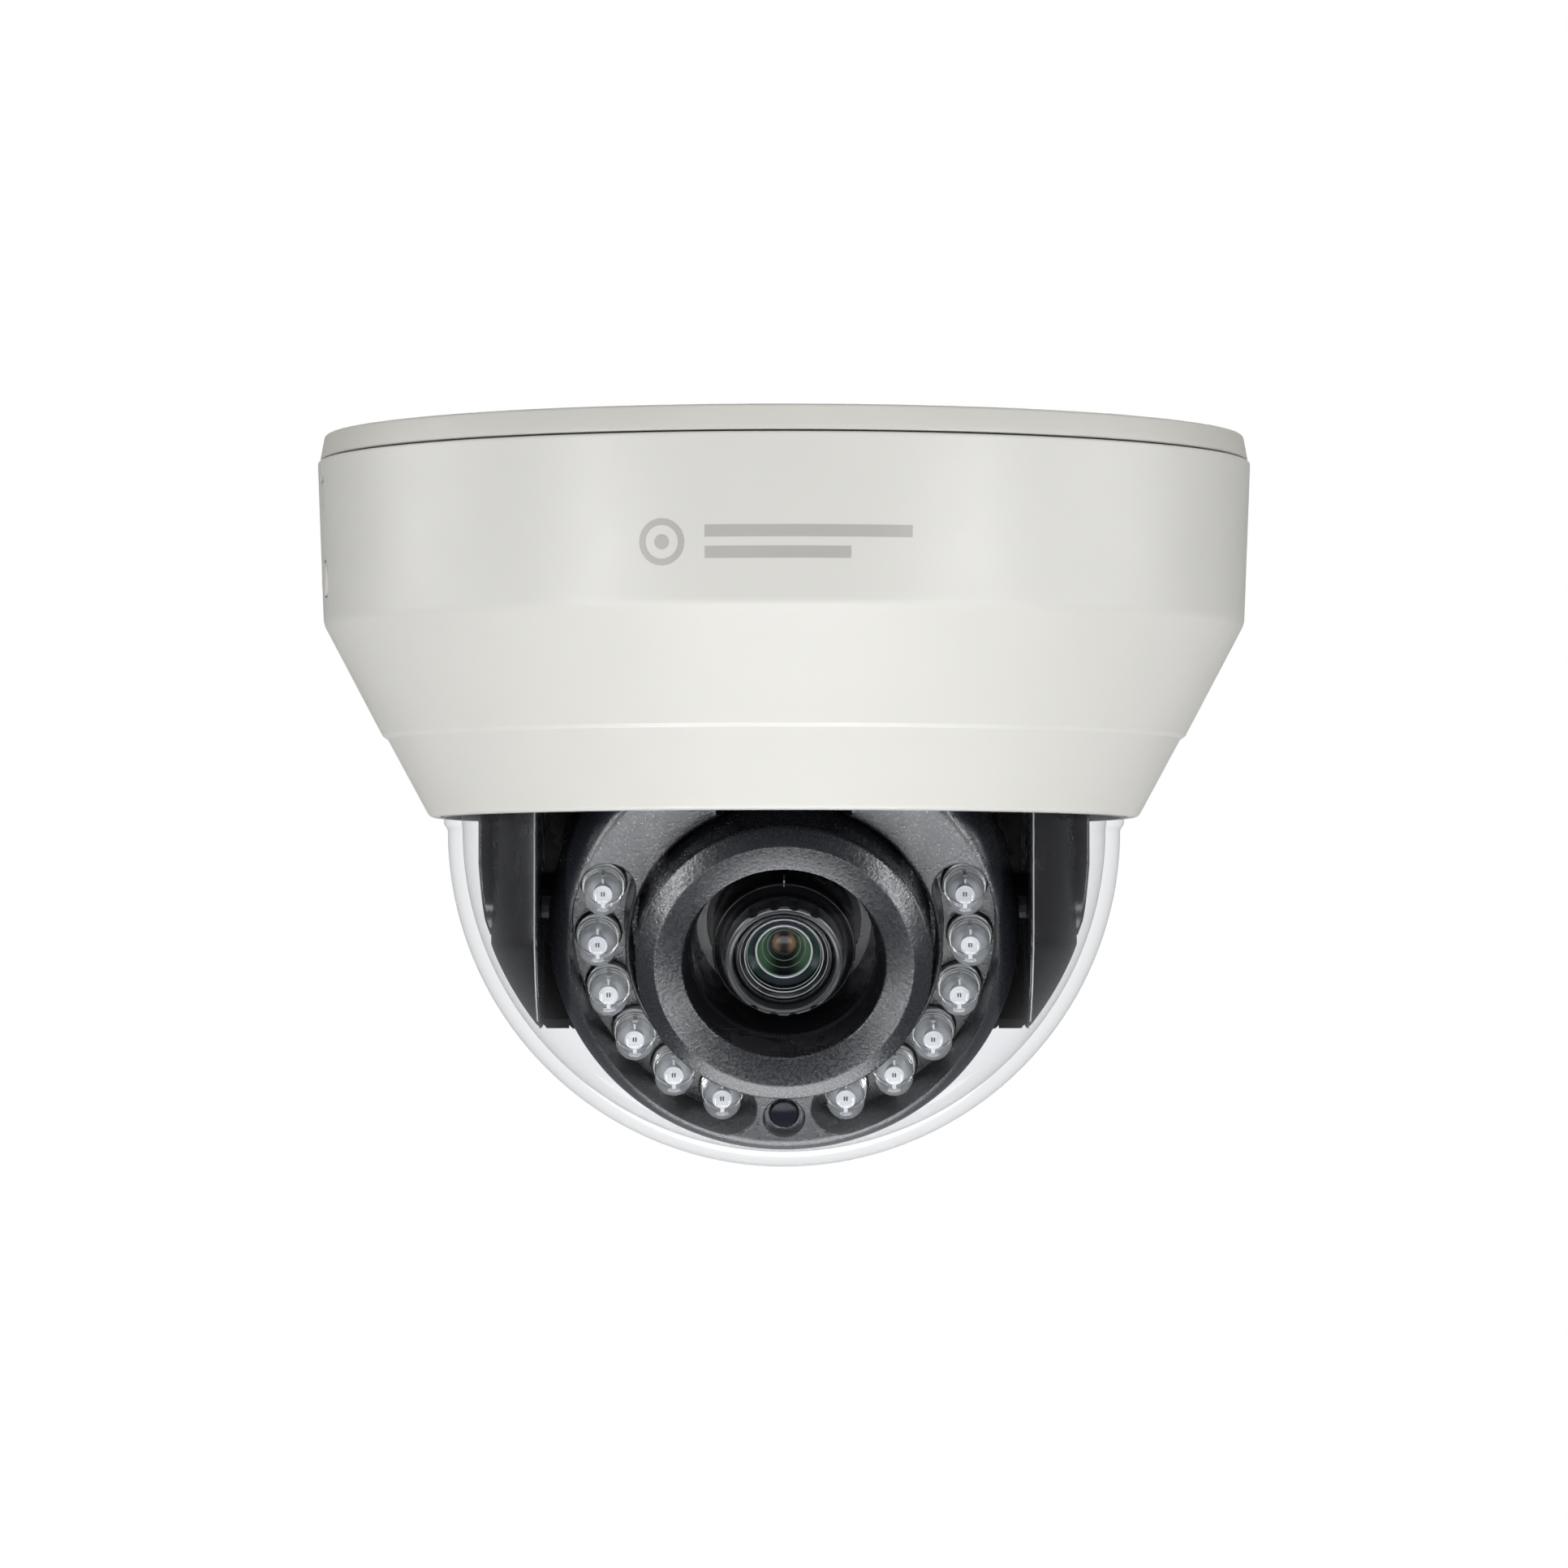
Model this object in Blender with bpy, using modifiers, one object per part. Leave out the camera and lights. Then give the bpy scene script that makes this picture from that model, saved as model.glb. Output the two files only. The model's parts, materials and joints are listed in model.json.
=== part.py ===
"""Indoor dome camera that hangs from a ceiling, modelled as one object per physical piece.

Units are metres and +Z is up. The origin is the centre of the face that lies on the ceiling, so
everything hangs below it. At rest the lens looks towards -Y and a little down.
"""

import math

import bmesh
import bpy

# ---------------------------------------------------------------- driving dimensions
GAP = 0.0003  # left between pieces that touch

# base plate, with the skirt that the cover slides over
BASE_TOP_R = 0.0593
BASE_R = 0.0599
BASE_H = 0.0028
SKIRT_R = 0.0572
SKIRT_WALL = 0.0018
SKIRT_H = 0.0110
POST_R = 0.0036
POST_CIRCLE_R = 0.0475
POST_ANGLES = (90.0, 210.0, 330.0)
STANDOFF_R = 0.0030
STANDOFF_CIRCLE_R = 0.0360
STANDOFF_ANGLES = (30.0, 150.0, 270.0)
SLOT_CIRCLE_R = 0.0485
SLOT_R = 0.0025
SLOT_SPREAD_DEG = 6.0  # half the angle that a screw slot sweeps
CABLE_Y = 0.0210
CABLE_HOLE_R = 0.0090
CABLE_BORE_R = 0.0045

# main board
BOARD_R = 0.0420
BOARD_TOP = -0.0080
BOARD_H = 0.0016
BOARD_CUT_R = 0.0130  # hole that the cable passes through
# boxes of the pieces under the board, with z counted from the board's underside
CHIP_BOX = ((-0.0085, -0.0220, -0.0024), (0.0085, -0.0050, 0.0))
PIGTAIL_HEADER_BOX = ((-0.0340, 0.0020, -0.0062), (-0.0180, 0.0090, 0.0))
CAMERA_HEADER_BOX = ((0.0180, 0.0020, -0.0048), (0.0300, 0.0075, 0.0))

# cover: outer outline as (radius, z), from its top edge to its lip
COVER_TOP = (0.0602, -0.0034)
SHOULDER = (0.0594, -0.0242)
SHOULDER_FILLET = 0.0028
STEP_UPPER = (0.0518, -0.0386)
STEP_LOWER = (0.0511, -0.0392)
LIP = (0.0463, -0.0480)
LIP_ROUND = 0.0012
COVER_BOTTOM_Z = -0.0491
OPENING_R = 0.0443
LEDGE_R = 0.0472
LEDGE_Z = -0.0433
WALL = 0.0020

# release button on the cover's side, and the moulded tongue of the base behind it
BUTTON_BEARING_DEG = 190.5  # direction from the centre, counted from +X
BUTTON_Z = -0.0188
BUTTON_R = 0.0022
BUTTON_FLANGE_R = 0.0034
TONGUE_R = 0.0550
TONGUE_WALL = 0.0016
TONGUE_WIDTH = 0.0090

# clear bubble and the ring that holds it
BUBBLE_CENTRE_Z = -0.0507
BUBBLE_R = 0.0434
BUBBLE_WALL = 0.0019
NECK_R = 0.0439
NECK_STEP_Z = -0.0499
FLANGE_R = 0.0466
FLANGE_H = 0.0015
RING_IN_R = 0.0419
RING_OUT_R = 0.0477
RING_H = 0.0018
RING_SCREW_R = 0.0459
RING_SCREW_ANGLES = (30.0, 150.0, 270.0)

# pan bracket and turntable
BRACKET_TOP = -0.0200
BRACKET_H = 0.0020
BRACKET_R = 0.0400
PAN_BORE_R = 0.0162
TURNTABLE_R = 0.0360
TURNTABLE_BOTTOM = -0.0250
PAN_CABLE_R = 0.0090

# yoke arms: slices of a round body that follows the bubble
ARM_X = 0.0312
ARM_R = 0.0378
ARM_BALL_R = 0.0406
ARM_TOP = TURNTABLE_BOTTOM - GAP
ARM_BOTTOM = -0.0764
EAR_R = 0.0393
EAR_BALL_R = 0.0410
EAR_HALF_W = 0.0050
WEB_X = 0.0245
WEB_Y = 0.0184
WEB_H = 0.0016
LEDGE_Y = 0.0148
LEDGE_H = 0.0016
LOW_WALL_X = 0.0280  # further in, the tilting eyeball would sweep through the wall
LOW_WALL = (  # its outline as (y, z): down the web's back, and forward to a ledge at the arm's foot
    (0.0186, -0.0640),
    (0.0186, -0.0650),
    (0.0093, -0.0750),
    (0.0084, -0.0750),
    (0.0084, ARM_BOTTOM),
    (0.0099, ARM_BOTTOM),
    (0.0200, -0.0662),
    (0.0200, -0.0640),
)
FOOT_X = 0.0215
FOOT_H = 0.0022
FOOT_HALF_W = 0.0080
FOOT_SCREW_X = 0.0262

# tilting eyeball; depths are distances in front of the pivot, along the lens axis
PIVOT_Z = -0.0592
LENS_DIP_DEG = 23.0  # how far the lens points below the horizontal at rest
PIVOT_PIN_R = 0.0030
PIVOT_HOLE_R = 0.0033
PIVOT_END_X = 0.0360
PIVOT_HEAD_R = 0.0042
PIVOT_HEAD_X = (0.0254, 0.0269)
RIM_R = 0.0301
RIM_DEPTH = 0.0103
FACE_R = 0.0273
FACE_DEPTH = 0.0170
SKIRT_BACK_DEPTH = 0.0056
BEZEL_BORE_R = 0.0195
BEZEL_BACK_DEPTH = 0.0085
BEZEL_SKIRT_IN_R = 0.0282
CHANNEL_IN_R = 0.02025
CHANNEL_OUT_R = 0.0272
CHANNEL_DEPTH = 0.0096
CHANNEL_START_DEG = 17.5
CHANNEL_END_DEG = 106.5
NOTCH_HALF_W = 0.0078
NOTCH_DEPTH = 0.0110
LED_CIRCLE_R = 0.0238
LED_ANGLES = (19.5, 36.5, 53.5, 70.5, 87.5, 104.5)  # each side of straight down
LED_R = 0.0025
LED_FLANGE_R = 0.0029
LED_HOLE_R = 0.0032
LED_TIP_DEPTH = 0.0170
LED_BOARD_FRONT = 0.0082
LED_BOARD_BACK = 0.0066
SENSOR_HOLE_R = 0.00255
SENSOR_R = 0.0016
SENSOR_TIP_DEPTH = 0.0150
REAR_R = 0.0294
REAR_WALL = 0.0018
REAR_BACK = 0.0140  # how far the rear shell reaches behind the pivot
REAR_HOLE_R = 0.0060
SHELF_R = 0.0191
EYE_SCREW_CIRCLE_R = 0.0240
EYE_SCREW_ANGLES = (142.0, 218.0)

# lens unit, which turns inside the eyeball
HOOD_R = 0.0188
HOOD_FLANGE_R = 0.0200
HOOD_RIDGE_R = 0.0164
HOOD_MOUTH_R = 0.0129
HOOD_BORE_R = 0.0120
HOOD_FLOOR_R = 0.0099
HOOD_BACK_DEPTH = 0.0067
HOOD_FLANGE_DEPTH = 0.0081
HOOD_FLOOR_DEPTH = 0.0086
HOOD_BORE_DEPTH = 0.0180
HOOD_EDGE_DEPTH = 0.0228
HOOD_MOUTH_DEPTH = 0.0229
HOOD_RIDGE_DEPTH = 0.0239
BARREL_R = 0.0062
BARREL_BACK_DEPTH = 0.0010
BARREL_TIP_DEPTH = 0.0210
BARREL_STOP_R = 0.0080
BARREL_STOP_DEPTHS = (0.0070, 0.0092)
GLASS_SEAT_DEPTH = 0.0172
ZOOM_R = 0.0091
ZOOM_DEPTHS = (0.0095, 0.0180)
FOCUS_R = 0.0075
FOCUS_DEPTHS = (0.0183, 0.0220)
RING_BORE_R = 0.0065
HOLDER_R = 0.0084
HOLDER_FLANGE_R = 0.0140
HOLDER_BACK = 0.0020  # distances behind the pivot from here on
LENS_BOARD = 0.0260
LENS_BOARD_Z = (0.0027, 0.0039)
LENS_SCREW_X = 0.0096
IMAGE_SENSOR_BOX = ((-0.0042, -0.0036, 0.0012), (0.0042, 0.0036, 0.0024))

SMALL = 10
MEDIUM = 24
FINE = 40


# ---------------------------------------------------------------- helpers
def clear_scene():
    for old in list(bpy.data.objects):
        bpy.data.objects.remove(old, do_unlink=True)


def collection(name):
    group = bpy.data.collections.new(name)
    bpy.context.scene.collection.children.link(group)
    return group


def plain(name, colour, roughness, metallic=0.0, alpha=1.0):
    material = bpy.data.materials.new(name)
    material.use_nodes = True
    shader = material.node_tree.nodes["Principled BSDF"]
    shader.inputs["Base Color"].default_value = (*colour, 1.0)
    shader.inputs["Roughness"].default_value = roughness
    shader.inputs["Metallic"].default_value = metallic
    shader.inputs["Alpha"].default_value = alpha
    return material


def polar(radius, degrees):
    angle = math.radians(degrees)
    return radius * math.cos(angle), radius * math.sin(angle)


def arc(centre_r, centre_z, radius, start, end, steps):
    """Points on a circle in the outline's plane, from start to end degrees."""
    points = []
    for i in range(steps + 1):
        r, z = polar(radius, start + (end - start) * i / steps)
        points.append((centre_r + r, centre_z + z))
    return points


def place(obj, material, parent=None):
    PIECES.objects.link(obj)
    if material:
        obj.data.materials.append(material)
    obj.parent = parent
    return obj


def as_helper(obj):
    """Moves a solid that only shapes others into the cutters' collection."""
    for group in list(obj.users_collection):
        group.objects.unlink(obj)
    CUTTERS.objects.link(obj)
    obj.hide_render = True
    obj.display_type = "WIRE"
    return obj


def shade(mesh):
    mesh.shade_smooth()
    mesh.set_sharp_from_angle(angle=math.radians(35.0))


def turned(name, outline, material, parent=None, steps=MEDIUM):
    """A solid of revolution about Z. The outline runs down its outer side and closes on itself."""
    mesh = bpy.data.meshes.new(name)
    closed = outline[0][0] > 0.0
    count = len(outline)
    edges = [(i, (i + 1) % count) for i in range(count if closed else count - 1)]
    mesh.from_pydata([(r, 0.0, z) for r, z in outline], edges, [])
    obj = place(bpy.data.objects.new(name, mesh), material, parent)
    modifier = obj.modifiers.new("turn", "SCREW")
    modifier.steps = modifier.render_steps = steps
    modifier.use_merge_vertices = True
    modifier.merge_threshold = 0.00001
    modifier.use_smooth_shade = True
    return obj


def from_bmesh(name, bm, material, parent=None):
    mesh = bpy.data.meshes.new(name)
    bm.to_mesh(mesh)
    bm.free()
    shade(mesh)
    return place(bpy.data.objects.new(name, mesh), material, parent)


def block(name, low, high, material=None, parent=None):
    bm = bmesh.new()
    bmesh.ops.create_cube(bm, size=1.0)
    for vert in bm.verts:
        for axis in range(3):
            vert.co[axis] = low[axis] if vert.co[axis] < 0.0 else high[axis]
    return from_bmesh(name, bm, material, parent)


def rod(name, radius, z_low, z_high, spots=((0.0, 0.0),), material=None, parent=None, sides=SMALL):
    """Upright cylinders of one radius, one at each (x, y) spot."""
    bm = bmesh.new()
    for x, y in spots:
        made = bmesh.ops.create_cone(
            bm, cap_ends=True, segments=sides, radius1=radius, radius2=radius, depth=z_high - z_low
        )
        bmesh.ops.translate(bm, verts=made["verts"], vec=(x, y, (z_low + z_high) / 2.0))
    return from_bmesh(name, bm, material, parent)


def plate(name, outline, z_low, z_high, material=None, parent=None):
    """A flat outline of (x, y) points made as thick as z_low to z_high."""
    curve = bpy.data.curves.new(name, "CURVE")
    curve.dimensions = "2D"
    curve.fill_mode = "BOTH"
    curve.extrude = (z_high - z_low) / 2.0
    spline = curve.splines.new("POLY")
    spline.points.add(len(outline) - 1)
    for point, (x, y) in zip(spline.points, outline):
        point.co = (x, y, 0.0, 1.0)
    spline.use_cyclic_u = True
    drawn = bpy.data.objects.new(name + "_outline", curve)
    CUTTERS.objects.link(drawn)
    bpy.context.view_layer.update()
    mesh = bpy.data.meshes.new_from_object(drawn.evaluated_get(bpy.context.evaluated_depsgraph_get()))
    bpy.data.objects.remove(drawn, do_unlink=True)
    bpy.data.curves.remove(curve)
    bm = bmesh.new()
    bm.from_mesh(mesh)
    bpy.data.meshes.remove(mesh)
    bmesh.ops.remove_doubles(bm, verts=bm.verts, dist=0.000001)
    bmesh.ops.recalc_face_normals(bm, faces=bm.faces)
    bmesh.ops.translate(bm, verts=bm.verts, vec=(0.0, 0.0, (z_low + z_high) / 2.0))
    return from_bmesh(name, bm, material, parent)


def boolean(obj, helper, operation):
    modifier = obj.modifiers.new(helper.name, "BOOLEAN")
    modifier.operation = operation
    modifier.solver = "EXACT"
    modifier.object = as_helper(helper)


def cut(obj, helper):
    boolean(obj, helper, "DIFFERENCE")


def join(obj, helper):
    boolean(obj, helper, "UNION")


def keep_inside(obj, helper):
    boolean(obj, helper, "INTERSECT")


def aim_outwards(obj, bearing_deg, z):
    """Turns a solid built along Z so that its +Z points out from the centre at a bearing."""
    obj.rotation_euler = (0.0, math.radians(90.0), math.radians(bearing_deg))
    obj.location = (0.0, 0.0, z)


def screw(name, x, y, seat_z, length, material, parent=None, shank_r=0.0013, head_r=0.0027, up=True):
    """A pan-head screw with a cross recess. It points up, or down if up is False."""
    head_h = head_r * 0.7
    outline = [
        (0.0, length),
        (shank_r, length),
        (shank_r, 0.0),
        (head_r, 0.0),
        (head_r, -0.6 * head_h),
        (0.75 * head_r, -head_h),
        (0.0, -head_h),
    ]
    obj = turned(name, outline, material, parent, SMALL)
    obj.location = (x, y, seat_z)
    if not up:
        obj.rotation_euler = (math.pi, 0.0, 0.0)
    for i in range(2):
        half = (0.6 * head_r, 0.12 * head_r)
        reach = (half[i], half[1 - i])
        low = (-reach[0], -reach[1], -1.2 * head_h)
        slot = block(f"{name}_recess_{i + 1}", low, (reach[0], reach[1], -0.45 * head_h))
        slot.parent = obj
        cut(obj, slot)
    return obj


def empty(name, parent=None):
    obj = bpy.data.objects.new(name, None)
    PIECES.objects.link(obj)
    obj.parent = parent
    return obj


# ---------------------------------------------------------------- base
def slot_outline(bearing):
    """The outline of a curved screw slot with round ends."""
    points = []
    for edge, ends in ((1.0, (-1.0, 1.0)), (-1.0, (1.0, -1.0))):
        for i in range(5):
            share = ends[0] + (ends[1] - ends[0]) * i / 4.0
            radius = SLOT_CIRCLE_R + edge * SLOT_R
            points.append(polar(radius, bearing + share * SLOT_SPREAD_DEG))
        cx, cy = polar(SLOT_CIRCLE_R, bearing + ends[1] * SLOT_SPREAD_DEG)
        turn = bearing + ends[1] * SLOT_SPREAD_DEG + (0.0 if edge > 0.0 else 180.0)
        for i in range(1, 4):
            dx, dy = polar(SLOT_R, turn + 45.0 * i)
            points.append((cx + dx, cy + dy))
    return points


def make_base(material):
    outline = [
        (0.0, 0.0),
        (BASE_TOP_R - 0.0004, 0.0),
        (BASE_TOP_R, -0.0004),
        (BASE_R, -BASE_H + 0.0003),
        (BASE_R - 0.0003, -BASE_H),
        (SKIRT_R, -BASE_H),
        (SKIRT_R, -SKIRT_H),
        (SKIRT_R - SKIRT_WALL, -SKIRT_H),
        (SKIRT_R - SKIRT_WALL, -BASE_H),
        (0.0, -BASE_H),
    ]
    base = turned("base_plate", outline, material, steps=FINE)
    posts = [polar(POST_CIRCLE_R, angle) for angle in POST_ANGLES]
    join(base, rod("base_posts", POST_R, BRACKET_TOP + GAP, -0.0010, posts))
    cut(base, rod("base_post_holes", 0.0016, BRACKET_TOP, BRACKET_TOP + 0.0090, posts))
    standoffs = [polar(STANDOFF_CIRCLE_R, angle) for angle in STANDOFF_ANGLES]
    join(base, rod("base_standoffs", STANDOFF_R, BOARD_TOP + GAP, -0.0010, standoffs))
    cut(base, rod("base_standoff_holes", 0.0013, BOARD_TOP - 0.001, -BASE_H, standoffs))
    join(base, make_tongue())
    cut(base, rod("base_cable_hole", CABLE_HOLE_R, -0.010, 0.001, [(0.0, CABLE_Y)], sides=24))
    for bearing in STANDOFF_ANGLES:
        cut(base, plate(f"base_slot_{bearing:.0f}", slot_outline(bearing), -0.004, 0.001))
    return base


def make_tongue():
    """The springy tongue that the release button bends. Its tooth stays clear of the cover."""
    half = TONGUE_WIDTH / 2.0
    tongue = block(
        "tongue", (TONGUE_R - TONGUE_WALL, -half, BUTTON_Z - 0.0050), (TONGUE_R, half, -0.0010)
    )
    tooth = block(
        "tongue_tooth", (TONGUE_R - 0.0005, -half, -0.0142), (TONGUE_R + 0.0018, half, -0.0122)
    )
    join(tongue, tooth)
    for piece in (tongue, tooth):
        piece.rotation_euler = (0.0, 0.0, math.radians(BUTTON_BEARING_DEG))
    return tongue


def make_grommet(material):
    body_r = CABLE_HOLE_R - GAP
    outline = [
        (CABLE_BORE_R, -GAP),
        (body_r, -GAP),
        (body_r, -BASE_H - GAP),
        (body_r + 0.0022, -BASE_H - GAP),
        (body_r + 0.0020, -BASE_H - 0.0018),
        (CABLE_BORE_R + 0.0020, -BASE_H - 0.0034),
        (CABLE_BORE_R, -BASE_H - 0.0034),
    ]
    grommet = turned("cable_grommet", outline, material, steps=24)
    grommet.location = (0.0, CABLE_Y, 0.0)


def make_main_board(board, chip, header, steel):
    main = rod("main_board", BOARD_R, BOARD_TOP - BOARD_H, BOARD_TOP, sides=FINE, material=board)
    cut(main, rod("board_cable_cut", BOARD_CUT_R, -0.012, -0.006, [(0.0, CABLE_Y)], sides=24))
    seat_z = BOARD_TOP - BOARD_H - GAP
    spots = [polar(STANDOFF_CIRCLE_R, angle) for angle in STANDOFF_ANGLES]
    cut(main, rod("board_screw_holes", 0.0015, -0.012, -0.006, spots))
    for i, (x, y) in enumerate(spots, 1):
        screw(f"main_board_screw_{i}", x, y, seat_z, 0.0052, steel, shank_r=0.0010, head_r=0.0021)
    for name, low, high, finish in (
        ("processor_chip", *CHIP_BOX, chip),
        ("pigtail_header", *PIGTAIL_HEADER_BOX, header),
        ("camera_header", *CAMERA_HEADER_BOX, header),
    ):
        piece = block(name, low, high, finish)
        piece.location = (0.0, 0.0, seat_z)


def bracket_outline():
    """A disc with a round lobe over each post."""
    points = []
    for degrees in range(0, 360, 6):
        nearest = min(abs((degrees - a + 180) % 360 - 180) for a in POST_ANGLES)
        lobe = max(0.0, 1.0 - (nearest / 14.0) ** 2)
        points.append(polar(BRACKET_R + (POST_CIRCLE_R + 0.0040 - BRACKET_R) * lobe, degrees))
    return points


def make_bracket(plastic, steel):
    low = BRACKET_TOP - BRACKET_H
    bracket = plate("pan_bracket", bracket_outline(), low, BRACKET_TOP, plastic)
    cut(bracket, rod("bracket_bore", PAN_BORE_R, low - 0.001, BRACKET_TOP + 0.001, sides=MEDIUM))
    posts = [polar(POST_CIRCLE_R, angle) for angle in POST_ANGLES]
    cut(bracket, rod("bracket_holes", 0.0017, low - 0.001, BRACKET_TOP + 0.001, posts))
    for i, (x, y) in enumerate(posts, 1):
        screw(f"pan_bracket_screw_{i}", x, y, low - GAP, 0.0085, steel)


# ---------------------------------------------------------------- turntable and yoke
def make_turntable(plastic, ring_material):
    top = BRACKET_TOP - BRACKET_H - GAP
    hub_top = BRACKET_TOP + 0.0022
    hub_r = PAN_BORE_R - GAP
    outline = [
        (PAN_CABLE_R, hub_top),
        (hub_r, hub_top),
        (hub_r, top),
        (TURNTABLE_R, top),
        (TURNTABLE_R, TURNTABLE_BOTTOM),
        (PAN_CABLE_R, TURNTABLE_BOTTOM),
    ]
    table = turned("turntable", outline, plastic, PAN, MEDIUM)
    holes = [(side * FOOT_SCREW_X, 0.0) for side in (-1.0, 1.0)]
    cut(table, rod("turntable_holes", 0.0015, TURNTABLE_BOTTOM - 0.001, top + 0.001, holes))
    low = BRACKET_TOP + GAP
    ring = [
        (PAN_BORE_R, low + 0.0014),
        (PAN_BORE_R + 0.0046, low + 0.0014),
        (PAN_BORE_R + 0.0046, low),
        (PAN_BORE_R, low),
    ]
    turned("pan_retainer_ring", ring, ring_material, PAN, MEDIUM)


def arm_body_outline(radius, ball_r):
    """The round body that the arms are slices of: a cylinder that ends in a ball."""
    start = math.degrees(math.acos(radius / ball_r))
    end = math.degrees(math.asin((BUBBLE_CENTRE_Z - ARM_BOTTOM) / ball_r))
    ball = arc(0.0, BUBBLE_CENTRE_Z, ball_r, -start, -end, 6)
    return [(0.0, ARM_TOP), (radius, ARM_TOP), *ball, (0.0, ARM_BOTTOM)]


def ear_outline():
    """The rib on an arm's outside: straight down from the top, round about the pivot."""
    points = [(EAR_HALF_W, ARM_TOP), (-EAR_HALF_W, ARM_TOP)]
    for i in range(9):
        y, z = polar(EAR_HALF_W, 180.0 + 22.5 * i)
        points.append((y, PIVOT_Z + z))
    return points


def side_block(name, side, near, far, y, z):
    """A block on the arm's side of the camera. near and far are distances from the middle."""
    low_x, high_x = sorted((side * near, side * far))
    return block(name, (low_x, y[0], z[0]), (high_x, y[1], z[1]))


def make_arm(name, side, plastic, steel):
    arm = turned(name, arm_body_outline(ARM_R, ARM_BALL_R), plastic, PAN, FINE)
    overlap_x = ARM_X + 0.002
    slab = side_block(f"{name}_slab", side, ARM_X, 0.060, (-0.05, 0.05), (-0.10, 0.0))
    web_y = (WEB_Y, WEB_Y + WEB_H)
    join(slab, side_block(f"{name}_web", side, WEB_X, overlap_x, web_y, (-0.11, -0.02)))
    foot_z = (ARM_TOP - FOOT_H, 0.001)
    foot_y = (-FOOT_HALF_W, FOOT_HALF_W)
    join(slab, side_block(f"{name}_foot", side, FOOT_X, overlap_x, foot_y, foot_z))
    ledge_y = (LEDGE_Y, WEB_Y + 0.0006)
    ledge_z = (-0.105, ARM_BOTTOM + LEDGE_H)
    join(slab, side_block(f"{name}_ledge", side, WEB_X + 0.0004, overlap_x, ledge_y, ledge_z))
    keep_inside(arm, slab)
    for label, outline, near, far in (
        ("ear", ear_outline(), ARM_X + 0.003, 0.0420),
        ("low_wall", LOW_WALL, LOW_WALL_X, overlap_x),
    ):
        piece = plate(f"{name}_{label}", outline, *sorted((side * near, side * far)))
        piece.rotation_euler = (math.radians(90.0), 0.0, math.radians(90.0))
        limit = arm_body_outline(EAR_R, EAR_BALL_R)
        keep_inside(piece, turned(f"{name}_{label}_limit", limit, None, steps=FINE))
        join(arm, piece)
    reach = sorted((side * (ARM_X - 0.002), side * (PIVOT_END_X + 0.0005)))
    hole = rod(f"{name}_pivot_hole", PIVOT_HOLE_R, *reach, sides=16)
    hole.rotation_euler = (0.0, math.radians(90.0), 0.0)
    hole.location = (0.0, 0.0, PIVOT_Z)
    cut(arm, hole)
    spot = [(side * FOOT_SCREW_X, 0.0)]
    cut(arm, rod(f"{name}_foot_hole", 0.0015, -0.030, -0.020, spot))
    seat = ARM_TOP - FOOT_H - GAP
    screw(name.replace("arm", "screw"), spot[0][0], 0.0, seat, 0.0046, steel, PAN)


# ---------------------------------------------------------------- eyeball
def around_lens(radius, from_down_deg):
    """A spot on a circle about the lens axis. 0 is straight down in the face, 180 is its top."""
    return polar(radius, 90.0 - from_down_deg)


def channel_outline(side):
    """The curved recess that holds one side's LEDs, round at both ends."""
    middle = (CHANNEL_IN_R + CHANNEL_OUT_R) / 2.0
    end_r = (CHANNEL_OUT_R - CHANNEL_IN_R) / 2.0
    start, end = CHANNEL_START_DEG, CHANNEL_END_DEG
    points = []
    for radius, first, last in ((CHANNEL_OUT_R, start, end), (CHANNEL_IN_R, end, start)):
        for i in range(9):
            points.append(around_lens(radius, first + (last - first) * i / 8.0))
        cx, cy = around_lens(middle, last)
        for i in range(1, 6):
            outward = 90.0 - last - (30.0 * i if radius == CHANNEL_OUT_R else 180.0 + 30.0 * i)
            dx, dy = polar(end_r, outward)
            points.append((cx + dx, cy + dy))
    return [(side * x, y) for x, y in points]


def make_bezel(plastic):
    flat_r = FACE_R - 0.0006
    turns = [math.radians(15.0 * i) for i in range(7)]
    bevel = [
        (
            flat_r + (RIM_R - flat_r) * math.cos(turn),
            -RIM_DEPTH - (FACE_DEPTH - RIM_DEPTH) * math.sin(turn),
        )
        for turn in turns
    ]
    outline = [
        (RIM_R - 0.0003, -SKIRT_BACK_DEPTH),
        *bevel,
        (BEZEL_BORE_R, -FACE_DEPTH),
        (BEZEL_BORE_R, -BEZEL_BACK_DEPTH),
        (BEZEL_SKIRT_IN_R, -BEZEL_BACK_DEPTH),
        (BEZEL_SKIRT_IN_R, -SKIRT_BACK_DEPTH),
    ]
    bezel = turned("front_bezel", outline, plastic, TILT, FINE)
    for side, label in ((1.0, "right"), (-1.0, "left")):
        channel = plate(f"channel_{label}", channel_outline(side), -0.020, -CHANNEL_DEPTH, None, TILT)
        cut(bezel, channel)
    notch = block(
        "notch", (-NOTCH_HALF_W, -0.040, -0.020), (NOTCH_HALF_W, -0.010, -NOTCH_DEPTH), None, TILT
    )
    cut(bezel, notch)
    spots = [around_lens(LED_CIRCLE_R, side * a) for side in (-1.0, 1.0) for a in LED_ANGLES]
    cut(bezel, rod("led_holes", LED_HOLE_R, -0.0110, -0.0070, spots, None, TILT))
    sensor = [around_lens(LED_CIRCLE_R, 0.0)]
    cut(bezel, rod("sensor_hole", SENSOR_HOLE_R, -0.020, -0.0070, sensor, None, TILT, 16))
    spots = [around_lens(EYE_SCREW_CIRCLE_R, a) for a in EYE_SCREW_ANGLES]
    cut(bezel, rod("bezel_screw_holes", 0.0013, -0.0150, -0.0070, spots, None, TILT))


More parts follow.
